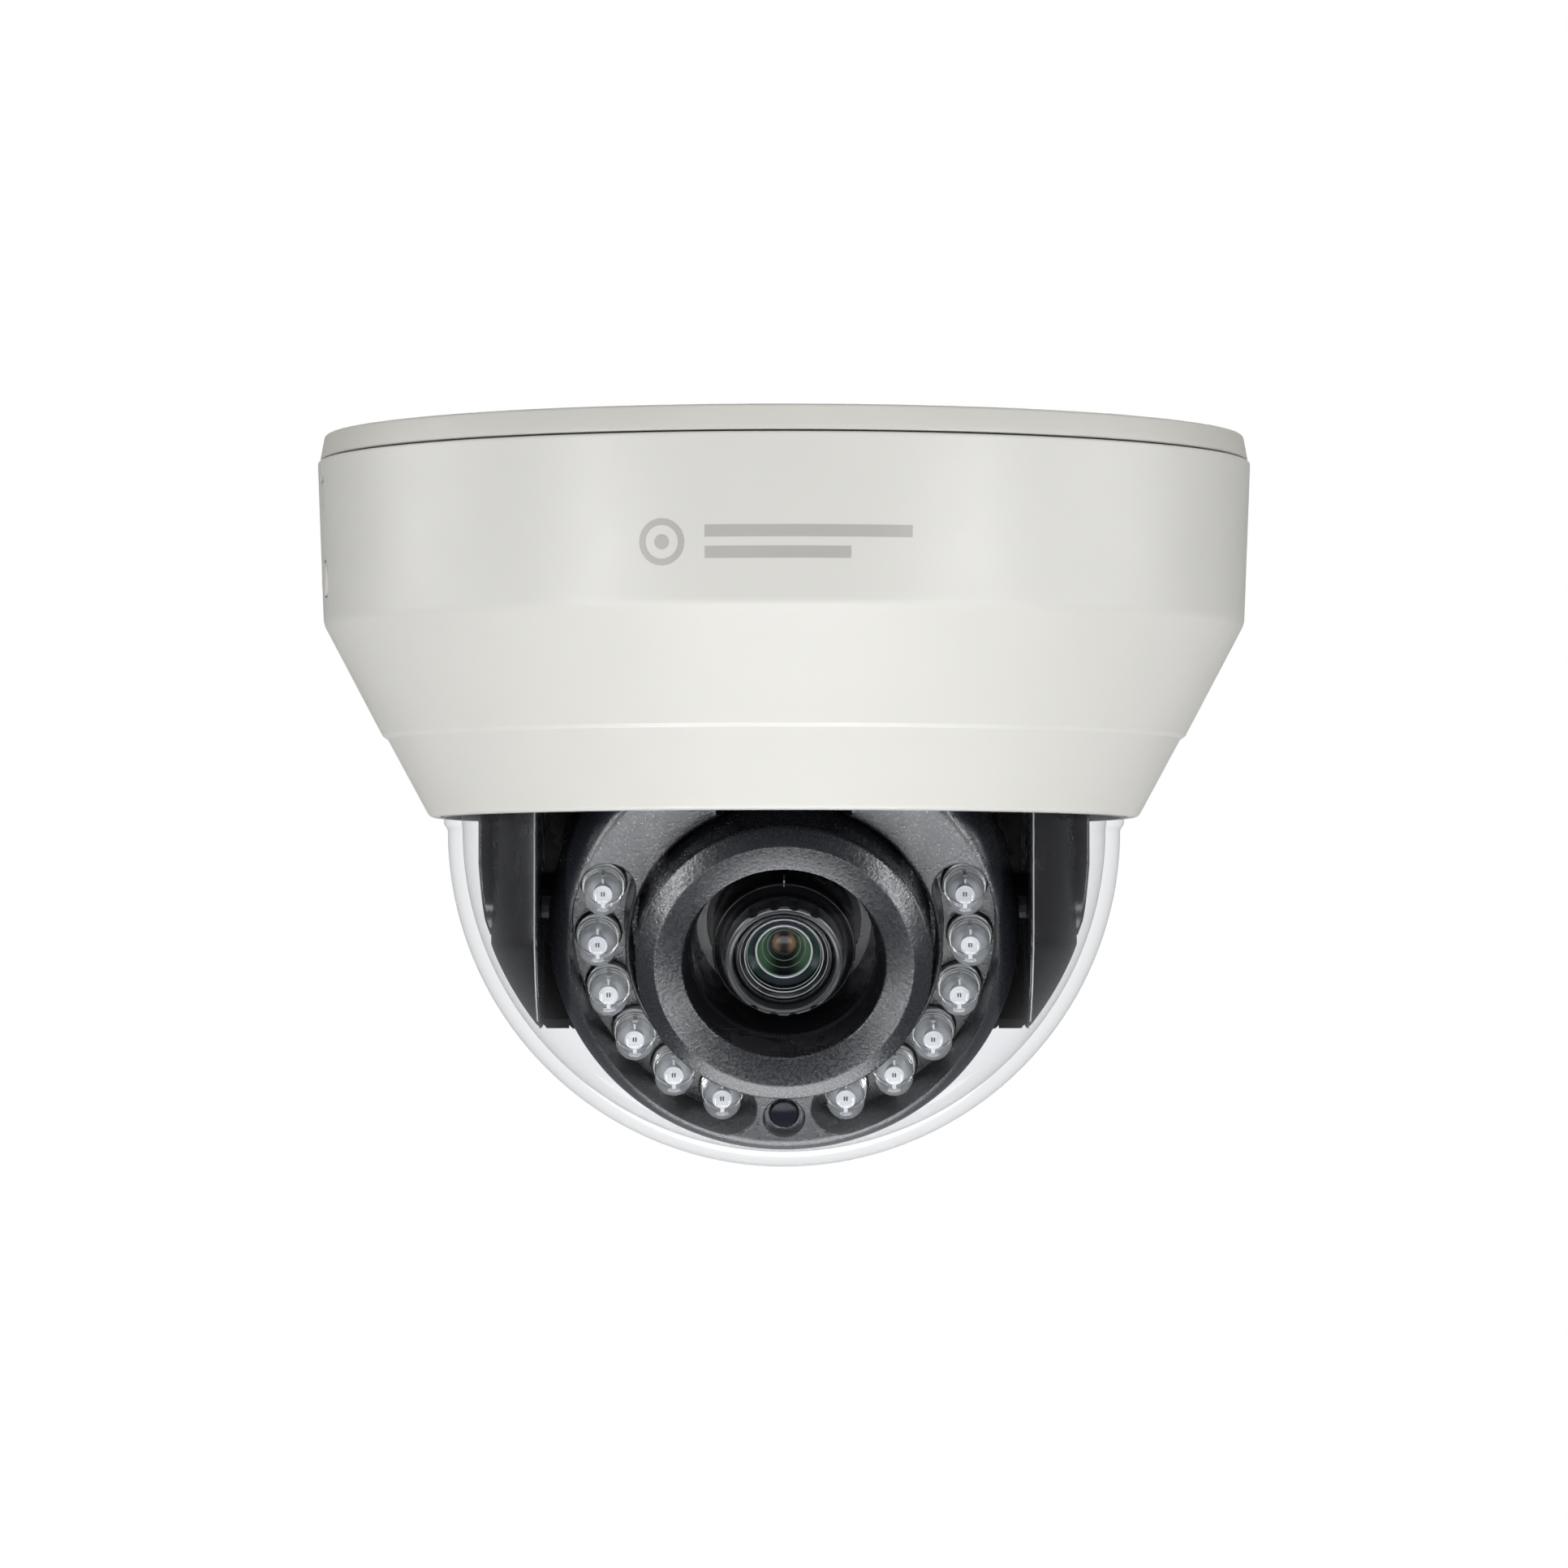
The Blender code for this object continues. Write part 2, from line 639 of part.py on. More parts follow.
def make_rear_shell(plastic, steel):
    inner_r = REAR_R - REAR_WALL
    corner = 0.0090
    outer = arc(REAR_R - corner, REAR_BACK - corner, corner, 90.0, 0.0, 5)
    inner = arc(REAR_R - corner, REAR_BACK - corner, corner - REAR_WALL, 0.0, 90.0, 5)
    front, lip = -SKIRT_BACK_DEPTH + GAP, -LED_BOARD_BACK + GAP
    outline = [
        (REAR_HOLE_R, REAR_BACK),
        *outer,
        (REAR_R, front),
        (BEZEL_SKIRT_IN_R - GAP, front),
        (BEZEL_SKIRT_IN_R - GAP, lip),
        (SHELF_R, lip),
        (SHELF_R, lip + 0.0016),
        (inner_r, lip + 0.0016),
        *inner,
        (REAR_HOLE_R, REAR_BACK - REAR_WALL),
    ]
    shell = turned("rear_shell", outline, plastic, TILT, 32)
    pin_hole = rod("rear_pin_holes", PIVOT_HOLE_R, -0.035, 0.035, sides=16)
    pin_hole.parent = TILT
    pin_hole.rotation_euler = (0.0, math.radians(90.0), 0.0)
    cut(shell, pin_hole)
    spots = [around_lens(EYE_SCREW_CIRCLE_R, a) for a in EYE_SCREW_ANGLES]
    cut(shell, rod("rear_access", 0.0027, 0.002, 0.020, spots, None, TILT))
    cut(shell, rod("rear_screw_holes", 0.0016, -0.010, 0.002, spots, None, TILT))
    for i, (x, y) in enumerate(spots, 1):
        seat = lip + 0.0016 + GAP
        screw(f"eyeball_screw_{i}", x, y, seat, 0.0093, steel, TILT, 0.0010, 0.0020, up=False)


def make_led_board(board):
    outline = [
        (HOOD_FLANGE_R + GAP, -LED_BOARD_BACK),
        (BEZEL_SKIRT_IN_R - 2.0 * GAP, -LED_BOARD_BACK),
        (BEZEL_SKIRT_IN_R - 2.0 * GAP, -LED_BOARD_FRONT),
        (HOOD_FLANGE_R + GAP, -LED_BOARD_FRONT),
    ]
    ring = turned("led_board", outline, board, TILT, 32)
    spots = [around_lens(EYE_SCREW_CIRCLE_R, a) for a in EYE_SCREW_ANGLES]
    cut(ring, rod("led_board_holes", 0.0014, -0.010, -0.005, spots, None, TILT))


def make_leds(clear):
    base = -LED_BOARD_FRONT - GAP
    dome = arc(0.0, -LED_TIP_DEPTH + LED_R, LED_R, 0.0, -90.0, 2)
    outline = [
        (0.0, base),
        (LED_FLANGE_R, base),
        (LED_FLANGE_R, base - 0.0010),
        (LED_R, base - 0.0010),
        *dome[:-1],
        (0.0, -LED_TIP_DEPTH),
    ]
    number = 0
    for side in (-1.0, 1.0):
        for angle in LED_ANGLES:
            number += 1
            led = turned(f"led_{number:02d}", outline, clear, TILT, SMALL)
            led.location = (*around_lens(LED_CIRCLE_R, side * angle), 0.0)


def make_light_sensor(dark):
    base = -LED_BOARD_FRONT - GAP
    tip = -SENSOR_TIP_DEPTH
    dome = arc(0.0, tip + SENSOR_R, SENSOR_R, 0.0, -90.0, 3)
    outline = [(0.0, base), (SENSOR_R, base), *dome[:-1], (0.0, tip)]
    sensor = turned("light_sensor", outline, dark, TILT, SMALL)
    sensor.location = (*around_lens(LED_CIRCLE_R, 0.0), 0.0)


def make_tilt_pivots(steel):
    outline = [
        (0.0, PIVOT_END_X),
        (PIVOT_PIN_R, PIVOT_END_X),
        (PIVOT_PIN_R, PIVOT_HEAD_X[1]),
        (PIVOT_HEAD_R, PIVOT_HEAD_X[1]),
        (PIVOT_HEAD_R, PIVOT_HEAD_X[0]),
        (0.0, PIVOT_HEAD_X[0]),
    ]
    for label, turn in (("right", 90.0), ("left", -90.0)):
        pin = turned(f"tilt_pivot_{label}", outline, steel, TILT, 16)
        pin.rotation_euler = (0.0, math.radians(turn), 0.0)


# ---------------------------------------------------------------- lens unit
def make_hood(plastic):
    outline = [
        (HOOD_FLOOR_R, -HOOD_BACK_DEPTH),
        (HOOD_FLANGE_R, -HOOD_BACK_DEPTH),
        (HOOD_FLANGE_R, -HOOD_FLANGE_DEPTH),
        (HOOD_R, -HOOD_FLANGE_DEPTH),
        (HOOD_R, -HOOD_EDGE_DEPTH),
        (HOOD_RIDGE_R, -HOOD_RIDGE_DEPTH),
        (HOOD_MOUTH_R, -HOOD_MOUTH_DEPTH),
        (HOOD_BORE_R, -HOOD_BORE_DEPTH),
        (HOOD_BORE_R, -HOOD_FLOOR_DEPTH),
        (HOOD_FLOOR_R, -HOOD_FLOOR_DEPTH),
    ]
    turned("lens_hood", outline, plastic, LENS, 32)


def make_holder(plastic):
    bore = BARREL_R + 0.0004
    flange_front = -HOOD_BACK_DEPTH + GAP
    outline = [
        (bore, HOLDER_BACK),
        (HOLDER_R, HOLDER_BACK),
        (HOLDER_R, flange_front + 0.0015),
        (HOLDER_FLANGE_R, flange_front + 0.0015),
        (HOLDER_FLANGE_R, flange_front),
        (bore, flange_front),
    ]
    holder = turned("lens_holder", outline, plastic, LENS, MEDIUM)
    foot_back = LENS_BOARD_Z[0] - GAP
    foot = block("holder_foot", (-0.0110, -0.0080, 0.0006), (0.0110, 0.0080, foot_back), None, LENS)
    cut(foot, rod("holder_foot_bore", 0.0070, -0.001, 0.004, parent=LENS, sides=MEDIUM))
    join(holder, foot)
    spots = [(-LENS_SCREW_X, 0.0), (LENS_SCREW_X, 0.0)]
    cut(holder, rod("holder_screw_holes", 0.0008, 0.0000, 0.0030, spots, None, LENS))


def make_sensor_board(board, chip, steel):
    half = LENS_BOARD / 2.0
    low, high = (-half, -half, LENS_BOARD_Z[0]), (half, half, LENS_BOARD_Z[1])
    board_piece = block("sensor_board", low, high, board, LENS)
    spots = [(-LENS_SCREW_X, 0.0), (LENS_SCREW_X, 0.0)]
    cut(board_piece, rod("sensor_board_holes", 0.0009, 0.002, 0.005, spots, None, LENS))
    block("image_sensor", *IMAGE_SENSOR_BOX, chip, LENS)
    seat = LENS_BOARD_Z[1] + GAP
    for i, (x, y) in enumerate(spots, 1):
        screw(f"sensor_board_screw_{i}", x, y, seat, 0.0028, steel, LENS, 0.0006, 0.0014, up=False)


def make_barrel(plastic):
    back, front = BARREL_STOP_DEPTHS
    outline = [
        (0.0040, -BARREL_BACK_DEPTH),
        (BARREL_R, -BARREL_BACK_DEPTH),
        (BARREL_R, -back),
        (BARREL_STOP_R, -back),
        (BARREL_STOP_R, -front),
        (BARREL_R, -front),
        (BARREL_R, -BARREL_TIP_DEPTH),
        (BARREL_R - 0.0005, -BARREL_TIP_DEPTH),
        (0.0048, -0.0196),
        (0.0048, -GLASS_SEAT_DEPTH),
        (0.0040, -GLASS_SEAT_DEPTH),
    ]
    turned("lens_barrel", outline, plastic, LENS, MEDIUM)


def glass_outline(radius, back, edge, bulge):
    """A lens element: flat behind, and in front a part of a ball that rises by bulge."""
    ball_r = (radius**2 + bulge**2) / (2.0 * bulge)
    sweep = math.degrees(math.asin(radius / ball_r))
    front = arc(0.0, edge - bulge + ball_r, ball_r, -90.0 + sweep, -90.0, 4)
    return [(0.0, back), (radius, back), *front[:-1], (0.0, edge - bulge)]


def make_glasses(glass):
    back = -GLASS_SEAT_DEPTH - GAP
    turned("front_glass", glass_outline(0.0045, back, back - 0.0007, 0.0012), glass, LENS, 16)
    turned("rear_glass", glass_outline(0.0037, -0.0030, -0.0042, 0.0008), glass, LENS, 16)


def make_lens_rings(plastic):
    back, front = ZOOM_DEPTHS
    outline = [
        (RING_BORE_R, -back),
        (ZOOM_R, -back),
        (ZOOM_R, -front + 0.0004),
        (ZOOM_R - 0.0004, -front),
        (RING_BORE_R, -front),
    ]
    zoom_ring = turned("zoom_ring", outline, plastic, ZOOM, MEDIUM)
    low, high = (-0.0004, -ZOOM_R - 0.0010, -front + 0.0002), (0.0004, -0.0082, -0.0150)
    join(zoom_ring, block("zoom_tick", low, high, None, ZOOM))
    back, front = FOCUS_DEPTHS
    outline = [(RING_BORE_R, -back), (FOCUS_R, -back), (FOCUS_R, -front), (RING_BORE_R, -front)]
    focus_ring = turned("focus_ring", outline, plastic, FOCUS, MEDIUM)
    spots = []
    for middle in (90.0, 270.0):
        spots += [polar(FOCUS_R + 0.0003, middle + offset) for offset in (-16.0, 0.0, 16.0)]
    cut(focus_ring, rod("focus_notches", 0.0007, -0.023, -0.0195, spots, None, FOCUS, 8))


# ---------------------------------------------------------------- cover and bubble
def cover_outline():
    """The shell's closed outline: down its outside, round the lip, and back up its inside."""
    slope = math.atan2(SHOULDER[0] - STEP_UPPER[0], SHOULDER[1] - STEP_UPPER[1])
    centre_r = SHOULDER[0] - SHOULDER_FILLET
    centre_z = SHOULDER[1] + SHOULDER_FILLET * math.tan(slope / 2.0)
    shoulder = arc(centre_r, centre_z, SHOULDER_FILLET, 0.0, -math.degrees(slope), 3)
    turns = [math.radians(30.0 * i) for i in range(4)]
    lip = [
        (
            LIP[0] - LIP_ROUND * (1.0 - math.cos(turn)),
            LIP[1] - (LIP[1] - COVER_BOTTOM_Z) * math.sin(turn),
        )
        for turn in turns
    ]
    across = WALL / math.cos(slope)
    return [
        (COVER_TOP[0] - WALL, COVER_TOP[1]),
        (COVER_TOP[0] - 0.0004, COVER_TOP[1]),
        (COVER_TOP[0], COVER_TOP[1] - 0.0004),
        *shoulder,
        STEP_UPPER,
        STEP_LOWER,
        *lip,
        (OPENING_R, COVER_BOTTOM_Z),
        (OPENING_R, LEDGE_Z),
        (LEDGE_R, LEDGE_Z),
        (STEP_UPPER[0] - across, STEP_LOWER[1] - 0.0004),
        (SHOULDER[0] - WALL, SHOULDER[1] - 0.0008),
    ]


def button_outline():
    """The button's outline along its own axis: the flange sits behind the wall."""
    face = SHOULDER[0] + 0.0004
    back = SHOULDER[0] - WALL - GAP - 0.0002
    return [
        (0.0, face),
        (BUTTON_R - 0.0004, face),
        (BUTTON_R, face - 0.0004),
        (BUTTON_R, back),
        (BUTTON_FLANGE_R, back),
        (BUTTON_FLANGE_R, back - 0.0007),
        (0.0, back - 0.0007),
    ]


def make_cover(white):
    cover = turned("cover_shell", cover_outline(), white, steps=FINE)
    hole = rod("button_hole", BUTTON_R + GAP, 0.050, 0.070, sides=20)
    aim_outwards(hole, BUTTON_BEARING_DEG, BUTTON_Z)
    cut(cover, hole)
    spots = [polar(RING_SCREW_R, angle) for angle in RING_SCREW_ANGLES]
    cut(cover, rod("cover_screw_holes", 0.0010, LEDGE_Z - 0.0040, LEDGE_Z + 0.001, spots))
    button = turned("release_button", button_outline(), white, steps=16)
    aim_outwards(button, BUTTON_BEARING_DEG, BUTTON_Z)


def make_bubble(clear):
    flange_z = LEDGE_Z + GAP
    inner_r = BUBBLE_R - BUBBLE_WALL
    neck_in = NECK_R - BUBBLE_WALL
    outer = arc(0.0, BUBBLE_CENTRE_Z, BUBBLE_R, 0.0, -90.0, 8)
    inner = arc(0.0, BUBBLE_CENTRE_Z, inner_r, -90.0, 0.0, 8)
    outline = [
        (0.0, BUBBLE_CENTRE_Z - inner_r),
        *inner[1:],
        (neck_in, NECK_STEP_Z),
        (neck_in, flange_z + FLANGE_H),
        (FLANGE_R, flange_z + FLANGE_H),
        (FLANGE_R, flange_z),
        (NECK_R, flange_z),
        (NECK_R, NECK_STEP_Z),
        *outer[:-1],
        (0.0, BUBBLE_CENTRE_Z - BUBBLE_R),
    ]
    bubble = turned("dome_bubble", outline, clear, steps=FINE)
    spots = [polar(RING_SCREW_R, angle) for angle in RING_SCREW_ANGLES]
    cut(bubble, rod("bubble_notches", 0.0016, -0.046, -0.038, spots))


def make_bubble_ring(plastic, steel):
    low = LEDGE_Z + GAP + FLANGE_H + GAP
    high = low + RING_H
    outline = [(RING_IN_R, high), (RING_OUT_R, high), (RING_OUT_R, low), (RING_IN_R, low)]
    ring = turned("bubble_retainer", outline, plastic, steps=FINE)
    spots = [polar(RING_SCREW_R, angle) for angle in RING_SCREW_ANGLES]
    cut(ring, rod("ring_holes", 0.0012, low - 0.001, high + 0.001, spots))
    for i, (x, y) in enumerate(spots, 1):
        name = f"bubble_screw_{i}"
        screw(name, x, y, high + GAP, 0.0062, steel, None, 0.0007, 0.0017, up=False)


# ---------------------------------------------------------------- assembly
def materials():
    return {
        "white": plain("warm_white_plastic", (0.68, 0.67, 0.63), 0.45),
        "rim": plain("grey_white_plastic", (0.55, 0.54, 0.50), 0.50),
        "clear": plain("clear_polycarbonate", (0.92, 0.94, 0.95), 0.05, alpha=0.25),
        "black": plain("black_textured_plastic", (0.018, 0.018, 0.020), 0.55),
        "grey": plain("dark_grey_plastic", (0.06, 0.06, 0.065), 0.50),
        "rubber": plain("black_rubber", (0.02, 0.02, 0.02), 0.80),
        "steel": plain("zinc_steel", (0.60, 0.60, 0.62), 0.30, metallic=1.0),
        "board": plain("green_circuit_board", (0.02, 0.16, 0.07), 0.40),
        "chip": plain("black_epoxy", (0.03, 0.03, 0.035), 0.35),
        "header": plain("cream_nylon", (0.72, 0.70, 0.62), 0.50),
        "led": plain("clear_epoxy", (0.85, 0.88, 0.92), 0.08, alpha=0.6),
        "sensor": plain("dark_blue_epoxy", (0.02, 0.02, 0.09), 0.15),
        "glass": plain("coated_glass", (0.02, 0.06, 0.06), 0.02),
    }


def build():
    m = materials()
    make_base(m["rim"])
    make_grommet(m["rubber"])
    make_main_board(m["board"], m["chip"], m["header"], m["steel"])
    make_bracket(m["grey"], m["steel"])
    make_turntable(m["grey"], m["steel"])
    make_arm("yoke_arm_right", 1.0, m["black"], m["steel"])
    make_arm("yoke_arm_left", -1.0, m["black"], m["steel"])
    make_bezel(m["black"])
    make_rear_shell(m["black"], m["steel"])
    make_led_board(m["board"])
    make_leds(m["led"])
    make_light_sensor(m["sensor"])
    make_tilt_pivots(m["steel"])
    make_hood(m["black"])
    make_holder(m["grey"])
    make_sensor_board(m["board"], m["chip"], m["steel"])
    make_barrel(m["black"])
    make_glasses(m["glass"])
    make_lens_rings(m["black"])
    make_cover(m["white"])
    make_bubble(m["clear"])
    make_bubble_ring(m["black"], m["steel"])


clear_scene()
PIECES = collection("dome_camera")
CUTTERS = collection("cutters")
CUTTERS.hide_render = True
PAN = empty("pan_axis")
TILT = empty("tilt_axis", PAN)
TILT.location = (0.0, 0.0, PIVOT_Z)
TILT.rotation_euler = (math.radians(LENS_DIP_DEG - 90.0), 0.0, 0.0)
LENS = empty("lens_axis", TILT)
ZOOM = empty("zoom_axis", LENS)
FOCUS = empty("focus_axis", LENS)
build()
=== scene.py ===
"""Looks of the dome camera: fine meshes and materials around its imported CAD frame.

Metres, +Z up, origin on the ceiling face. Eyeball pieces are drawn in the lens's own frame, where
-Z is the way the lens looks and +Y is the bottom of its face, and are then turned into place.
"""

import json
import math

import bmesh
import bpy
from mathutils import Matrix, Vector


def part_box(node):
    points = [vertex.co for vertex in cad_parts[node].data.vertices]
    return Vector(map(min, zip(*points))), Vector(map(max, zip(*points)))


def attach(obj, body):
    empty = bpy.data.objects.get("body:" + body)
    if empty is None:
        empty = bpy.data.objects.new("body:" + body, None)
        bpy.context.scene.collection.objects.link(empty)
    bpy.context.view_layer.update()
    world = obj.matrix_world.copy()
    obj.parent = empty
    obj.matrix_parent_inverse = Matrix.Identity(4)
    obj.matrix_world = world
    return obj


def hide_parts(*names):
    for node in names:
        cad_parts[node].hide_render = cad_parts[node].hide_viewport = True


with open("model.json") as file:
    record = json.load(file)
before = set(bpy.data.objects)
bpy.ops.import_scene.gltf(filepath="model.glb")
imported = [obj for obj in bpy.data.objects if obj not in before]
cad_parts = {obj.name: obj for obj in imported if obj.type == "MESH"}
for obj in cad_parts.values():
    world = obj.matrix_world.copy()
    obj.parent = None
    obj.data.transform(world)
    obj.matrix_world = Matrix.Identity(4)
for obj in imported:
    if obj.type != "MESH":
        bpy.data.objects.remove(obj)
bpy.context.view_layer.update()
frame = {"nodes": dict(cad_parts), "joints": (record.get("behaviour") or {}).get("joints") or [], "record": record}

MM = 0.001
FINE = 192  # sides of a large turned piece
MEDIUM = 96
SMALL = 32
HERE = Matrix.Identity(4)
JOINTS = {joint["name"]: joint for joint in frame["joints"]}
PIVOT = Vector(JOINTS["tilt"]["pos_m"])
LENS_AXIS = Vector(JOINTS["lens_rotate"]["axis"])
DIP = math.asin(-LENS_AXIS.z)
LENS = Matrix.Translation(PIVOT) @ Matrix.Rotation(DIP - math.pi / 2.0, 4, "X")

# camera: distance and height in metres, lens in mm on a 36 mm sensor, and tilt upwards in degrees
CAMERA_DISTANCE = 0.996
CAMERA_HEIGHT = -0.0724
CAMERA_LENS = 177.01863
CAMERA_TILT = 1.592

# light: the floor's glow, the sky's level by height (sine of elevation), and the softboxes as
# name, place, width and height, and power in watts
LIGHTS_AIM = (0.0, 0.0, -0.06)
FLOOR_GLOW = 0.20
SKY = ((-1.0, 0.22), (-0.3, 0.16), (-0.1, 0.10), (0.12, 0.18), (0.5, 0.40), (1.0, 0.45))
SOFTBOXES = (
    ("below", (0.0, 0.03, -0.56), (0.46, 0.34), 2.5),
    ("front_low", (0.0, -0.66, -0.56), (0.90, 0.20), 4.5),
    ("front_high", (0.0, -1.00, 0.50), (0.90, 0.26), 3.4),
    ("side_left", (-0.80, -0.80, -0.20), (0.12, 0.80), 6.0),
    ("side_right", (0.80, -0.80, -0.20), (0.12, 0.80), 6.0),
    ("back_high", (0.0, 1.10, 0.60), (0.80, 0.30), 7.0),
    ("far_left", (-1.10, 0.10, 0.10), (0.60, 0.70), 4.4),
    ("far_right", (1.10, -0.10, 0.10), (0.60, 0.70), 4.6),
)

# cover, from the CAD box of its shell
COVER_LOW, COVER_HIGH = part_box("cover_shell")
COVER_R = COVER_HIGH.x
COVER_TOP_Z = COVER_HIGH.z
COVER_BOTTOM_Z = COVER_LOW.z
SHOULDER = (59.4 * MM, -24.2 * MM)
STEP_UPPER = (51.8 * MM, -38.6 * MM)
STEP_LOWER = (51.1 * MM, -39.1 * MM)
OPENING_R = 44.3 * MM
LEDGE_R = 47.2 * MM
LEDGE_Z = -43.3 * MM
WALL = 2.0 * MM
BUTTON_BEARING = 190.5
BUTTON_Z = -18.8 * MM
BUTTON_R = 2.2 * MM

MARK_Z = -16.8 * MM
MARK_RING_X = -15.2 * MM
MARK_RING_R = (2.9 * MM, 2.05 * MM)
MARK_DOT_R = 0.95 * MM
MARK_SIDES = 24
MARK_BAR_START = -9.8 * MM
MARK_BARS = ((0.55, 2.05, 16.0), (-2.05, -0.55, 8.3))  # low and high edge, and right end, in mm

BUBBLE_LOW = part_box("dome_bubble")[0]
BUBBLE_CENTRE_Z = -50.7 * MM
BUBBLE_R = BUBBLE_CENTRE_Z - BUBBLE_LOW.z
BUBBLE_WALL = 1.9 * MM
NECK_R = 43.9 * MM
NECK_STEP_Z = -49.9 * MM
NECK_LINE = (-49.15 * MM, -48.85 * MM)
FLANGE_R = 46.6 * MM

BASE_TOP_R = 59.3 * MM
BASE_R = 59.9 * MM
BASE_H = 2.8 * MM
SKIRT_R = 57.2 * MM
SKIRT_RIBS = 24
SLOT_BEARINGS = (30.0, 150.0, 270.0)
CABLE_EXIT = Matrix.Translation((0.0, 21.0 * MM, 0.0))

ARM_X = 31.2 * MM
ARM_R = 37.8 * MM
ARM_BALL_R = 40.6 * MM
ARM_TOP = -25.3 * MM
ARM_BOTTOM = -76.4 * MM
ARM_FOOT_EDGE = ((0.0, 1.0), (0.1, 0.45), (0.3, 0.15))  # height in mm, share of the edge's inset
EAR_R = 39.3 * MM
EAR_BALL_R = 41.0 * MM
EAR_HALF_W = 5.0 * MM
EAR_FADE = 9.0 * MM  # height over which the ear thins out towards its lower end
WEB_X = 24.5 * MM
WEB_Y = 18.4 * MM
LOW_WALL_X = 28.0 * MM
LOW_WALL = (  # the slanted wall's outline as (y, z) in mm, with the ledge at its foot
    (18.6, -64.0), (18.6, -65.0), (9.3, -75.0), (8.4, -75.1),
    (8.4, -76.3), (9.9, -76.3), (20.0, -66.2), (20.0, -64.0),
)

RIM_R = 30.1 * MM
RIM_DEPTH = 10.3 * MM
FACE_R = 27.3 * MM
FACE_DEPTH = 17.0 * MM
BEZEL_BACK = 5.6 * MM
BEZEL_BORE_R = 19.5 * MM
CHANNEL_IN_R = 20.25 * MM
CHANNEL_OUT_R = 27.2 * MM
CHANNEL_DEPTH = 9.6 * MM
CHANNEL_ENDS = (17.5, 109.0)
NOTCH_HALF_W = 7.8 * MM
LED_CIRCLE_R = 23.8 * MM
LED_ANGLES = (19.5, 36.5, 53.5, 70.5, 87.5, 104.5)
LED_R = 2.42 * MM
LED_BASE = 8.5 * MM
LED_TIP = 17.0 * MM
LED_SIDES = 40
BULLET_SIDES = 48
# edges round the bullet's base: radius, depth and thickness in mm
LED_STEPS = ((2.83, 10.50, 0.08), (2.70, 11.32, 0.09), (2.46, 11.50, 0.07), (2.40, 12.5, 0.05))
FINGER_NOTCHES = (239.0, 261.0, 280.0, 301.0, 59.0, 81.0, 100.0, 121.0)  # about the lens axis
REAR_R = 29.4 * MM
REAR_BACK = 14.0 * MM
EYE_SCREW_R = 24.0 * MM
EYE_SCREW_ANGLES = (142.0, 218.0)


# ---------------------------------------------------------------- mesh helpers
def polar(radius, degrees):
    angle = math.radians(degrees)
    return radius * math.cos(angle), radius * math.sin(angle)


def arc(centre_r, centre_z, radius, start, end, steps):
    """Points on a circle in the outline's plane, from start to end degrees."""
    turns = [start + (end - start) * i / steps for i in range(steps + 1)]
    return [(centre_r + polar(radius, t)[0], centre_z + polar(radius, t)[1]) for t in turns]


def mm(corners):
    """Corners that are given in mm, in metres."""
    return [tuple(value * MM for value in corner) for corner in corners]


def rounded(corners, steps=5):
    """Points of an outline whose corners are (x, y) or, where rounded, (x, y, radius)."""
    points = []
    for i, corner in enumerate(corners):
        here = Vector(corner[:2])
        if len(corner) == 2:
            points.append(tuple(here))
            continue
        before = Vector(corners[i - 1][:2]) - here
        after = Vector(corners[(i + 1) % len(corners)][:2]) - here
        reach = corner[2] / math.tan(before.angle(after) / 2.0)
        reach = min(reach, 0.48 * before.length, 0.48 * after.length)
        start = here + before.normalized() * reach
        end = here + after.normalized() * reach
        for k in range(steps + 1):
            t = k / steps
            points.append(tuple(start * (1 - t) ** 2 + here * 2 * t * (1 - t) + end * t**2))
    return points


def made(name, bm, turn=HERE, sharp=38.0):
    """An object from a bmesh, with faces out, smooth except at sharp edges."""
    bmesh.ops.remove_doubles(bm, verts=bm.verts, dist=0.0000005)
    bmesh.ops.recalc_face_normals(bm, faces=bm.faces)
    bmesh.ops.transform(bm, matrix=turn, verts=bm.verts)
    mesh = bpy.data.meshes.new(name)
    bm.to_mesh(mesh)
    bm.free()
    mesh.shade_smooth()
    mesh.set_sharp_from_angle(angle=math.radians(sharp))
    obj = bpy.data.objects.new(name, mesh)
    bpy.context.scene.collection.objects.link(obj)
    return obj


def lathe(name, outline, turn=HERE, steps=FINE, sharp=38.0):
    """A solid turned about Z. An outline that starts off the axis closes on itself."""
    bm = bmesh.new()
    verts = [bm.verts.new((r, 0.0, z)) for r, z in outline]
    closed = outline[0][0] > 0.0
    pairs = list(zip(verts, verts[1:])) + ([(verts[-1], verts[0])] if closed else [])
    edges = [bm.edges.new(pair) for pair in pairs]
    bmesh.ops.spin(
        bm, geom=verts + edges, cent=(0, 0, 0), axis=(0, 0, 1), angle=2 * math.pi, steps=steps
    )
    return made(name, bm, turn, sharp)


def fine_ring(name, radius, depth, thick, turn, steps, sides):
    """A thin round ring about -Z, with its radius, depth and thickness in mm."""
    outline = arc(radius * MM, -depth * MM, thick * MM, 360.0, 0.0, sides)[:-1]
    return lathe(name, outline, turn, steps)


def loft(name, rings, turn=HERE, sharp=38.0, caps=True):
    """A skin over rings of 3-D points, all of one length, with flat caps."""
    bm = bmesh.new()
    loops = [[bm.verts.new(point) for point in ring] for ring in rings]
    for low, high in zip(loops, loops[1:]):
        for i in range(len(low)):
            j = (i + 1) % len(low)
            bm.faces.new((low[i], low[j], high[j], high[i]))
    if caps:
        bm.faces.new(loops[0])
        bm.faces.new(loops[-1])
    return made(name, bm, turn, sharp)


def prism(name, levels, turn=HERE, sharp=38.0):
    """A loft of flat outlines of (x, y) points, each at its own height."""
    return loft(name, [[(x, y, z) for x, y in outline] for z, outline in levels], turn, sharp)


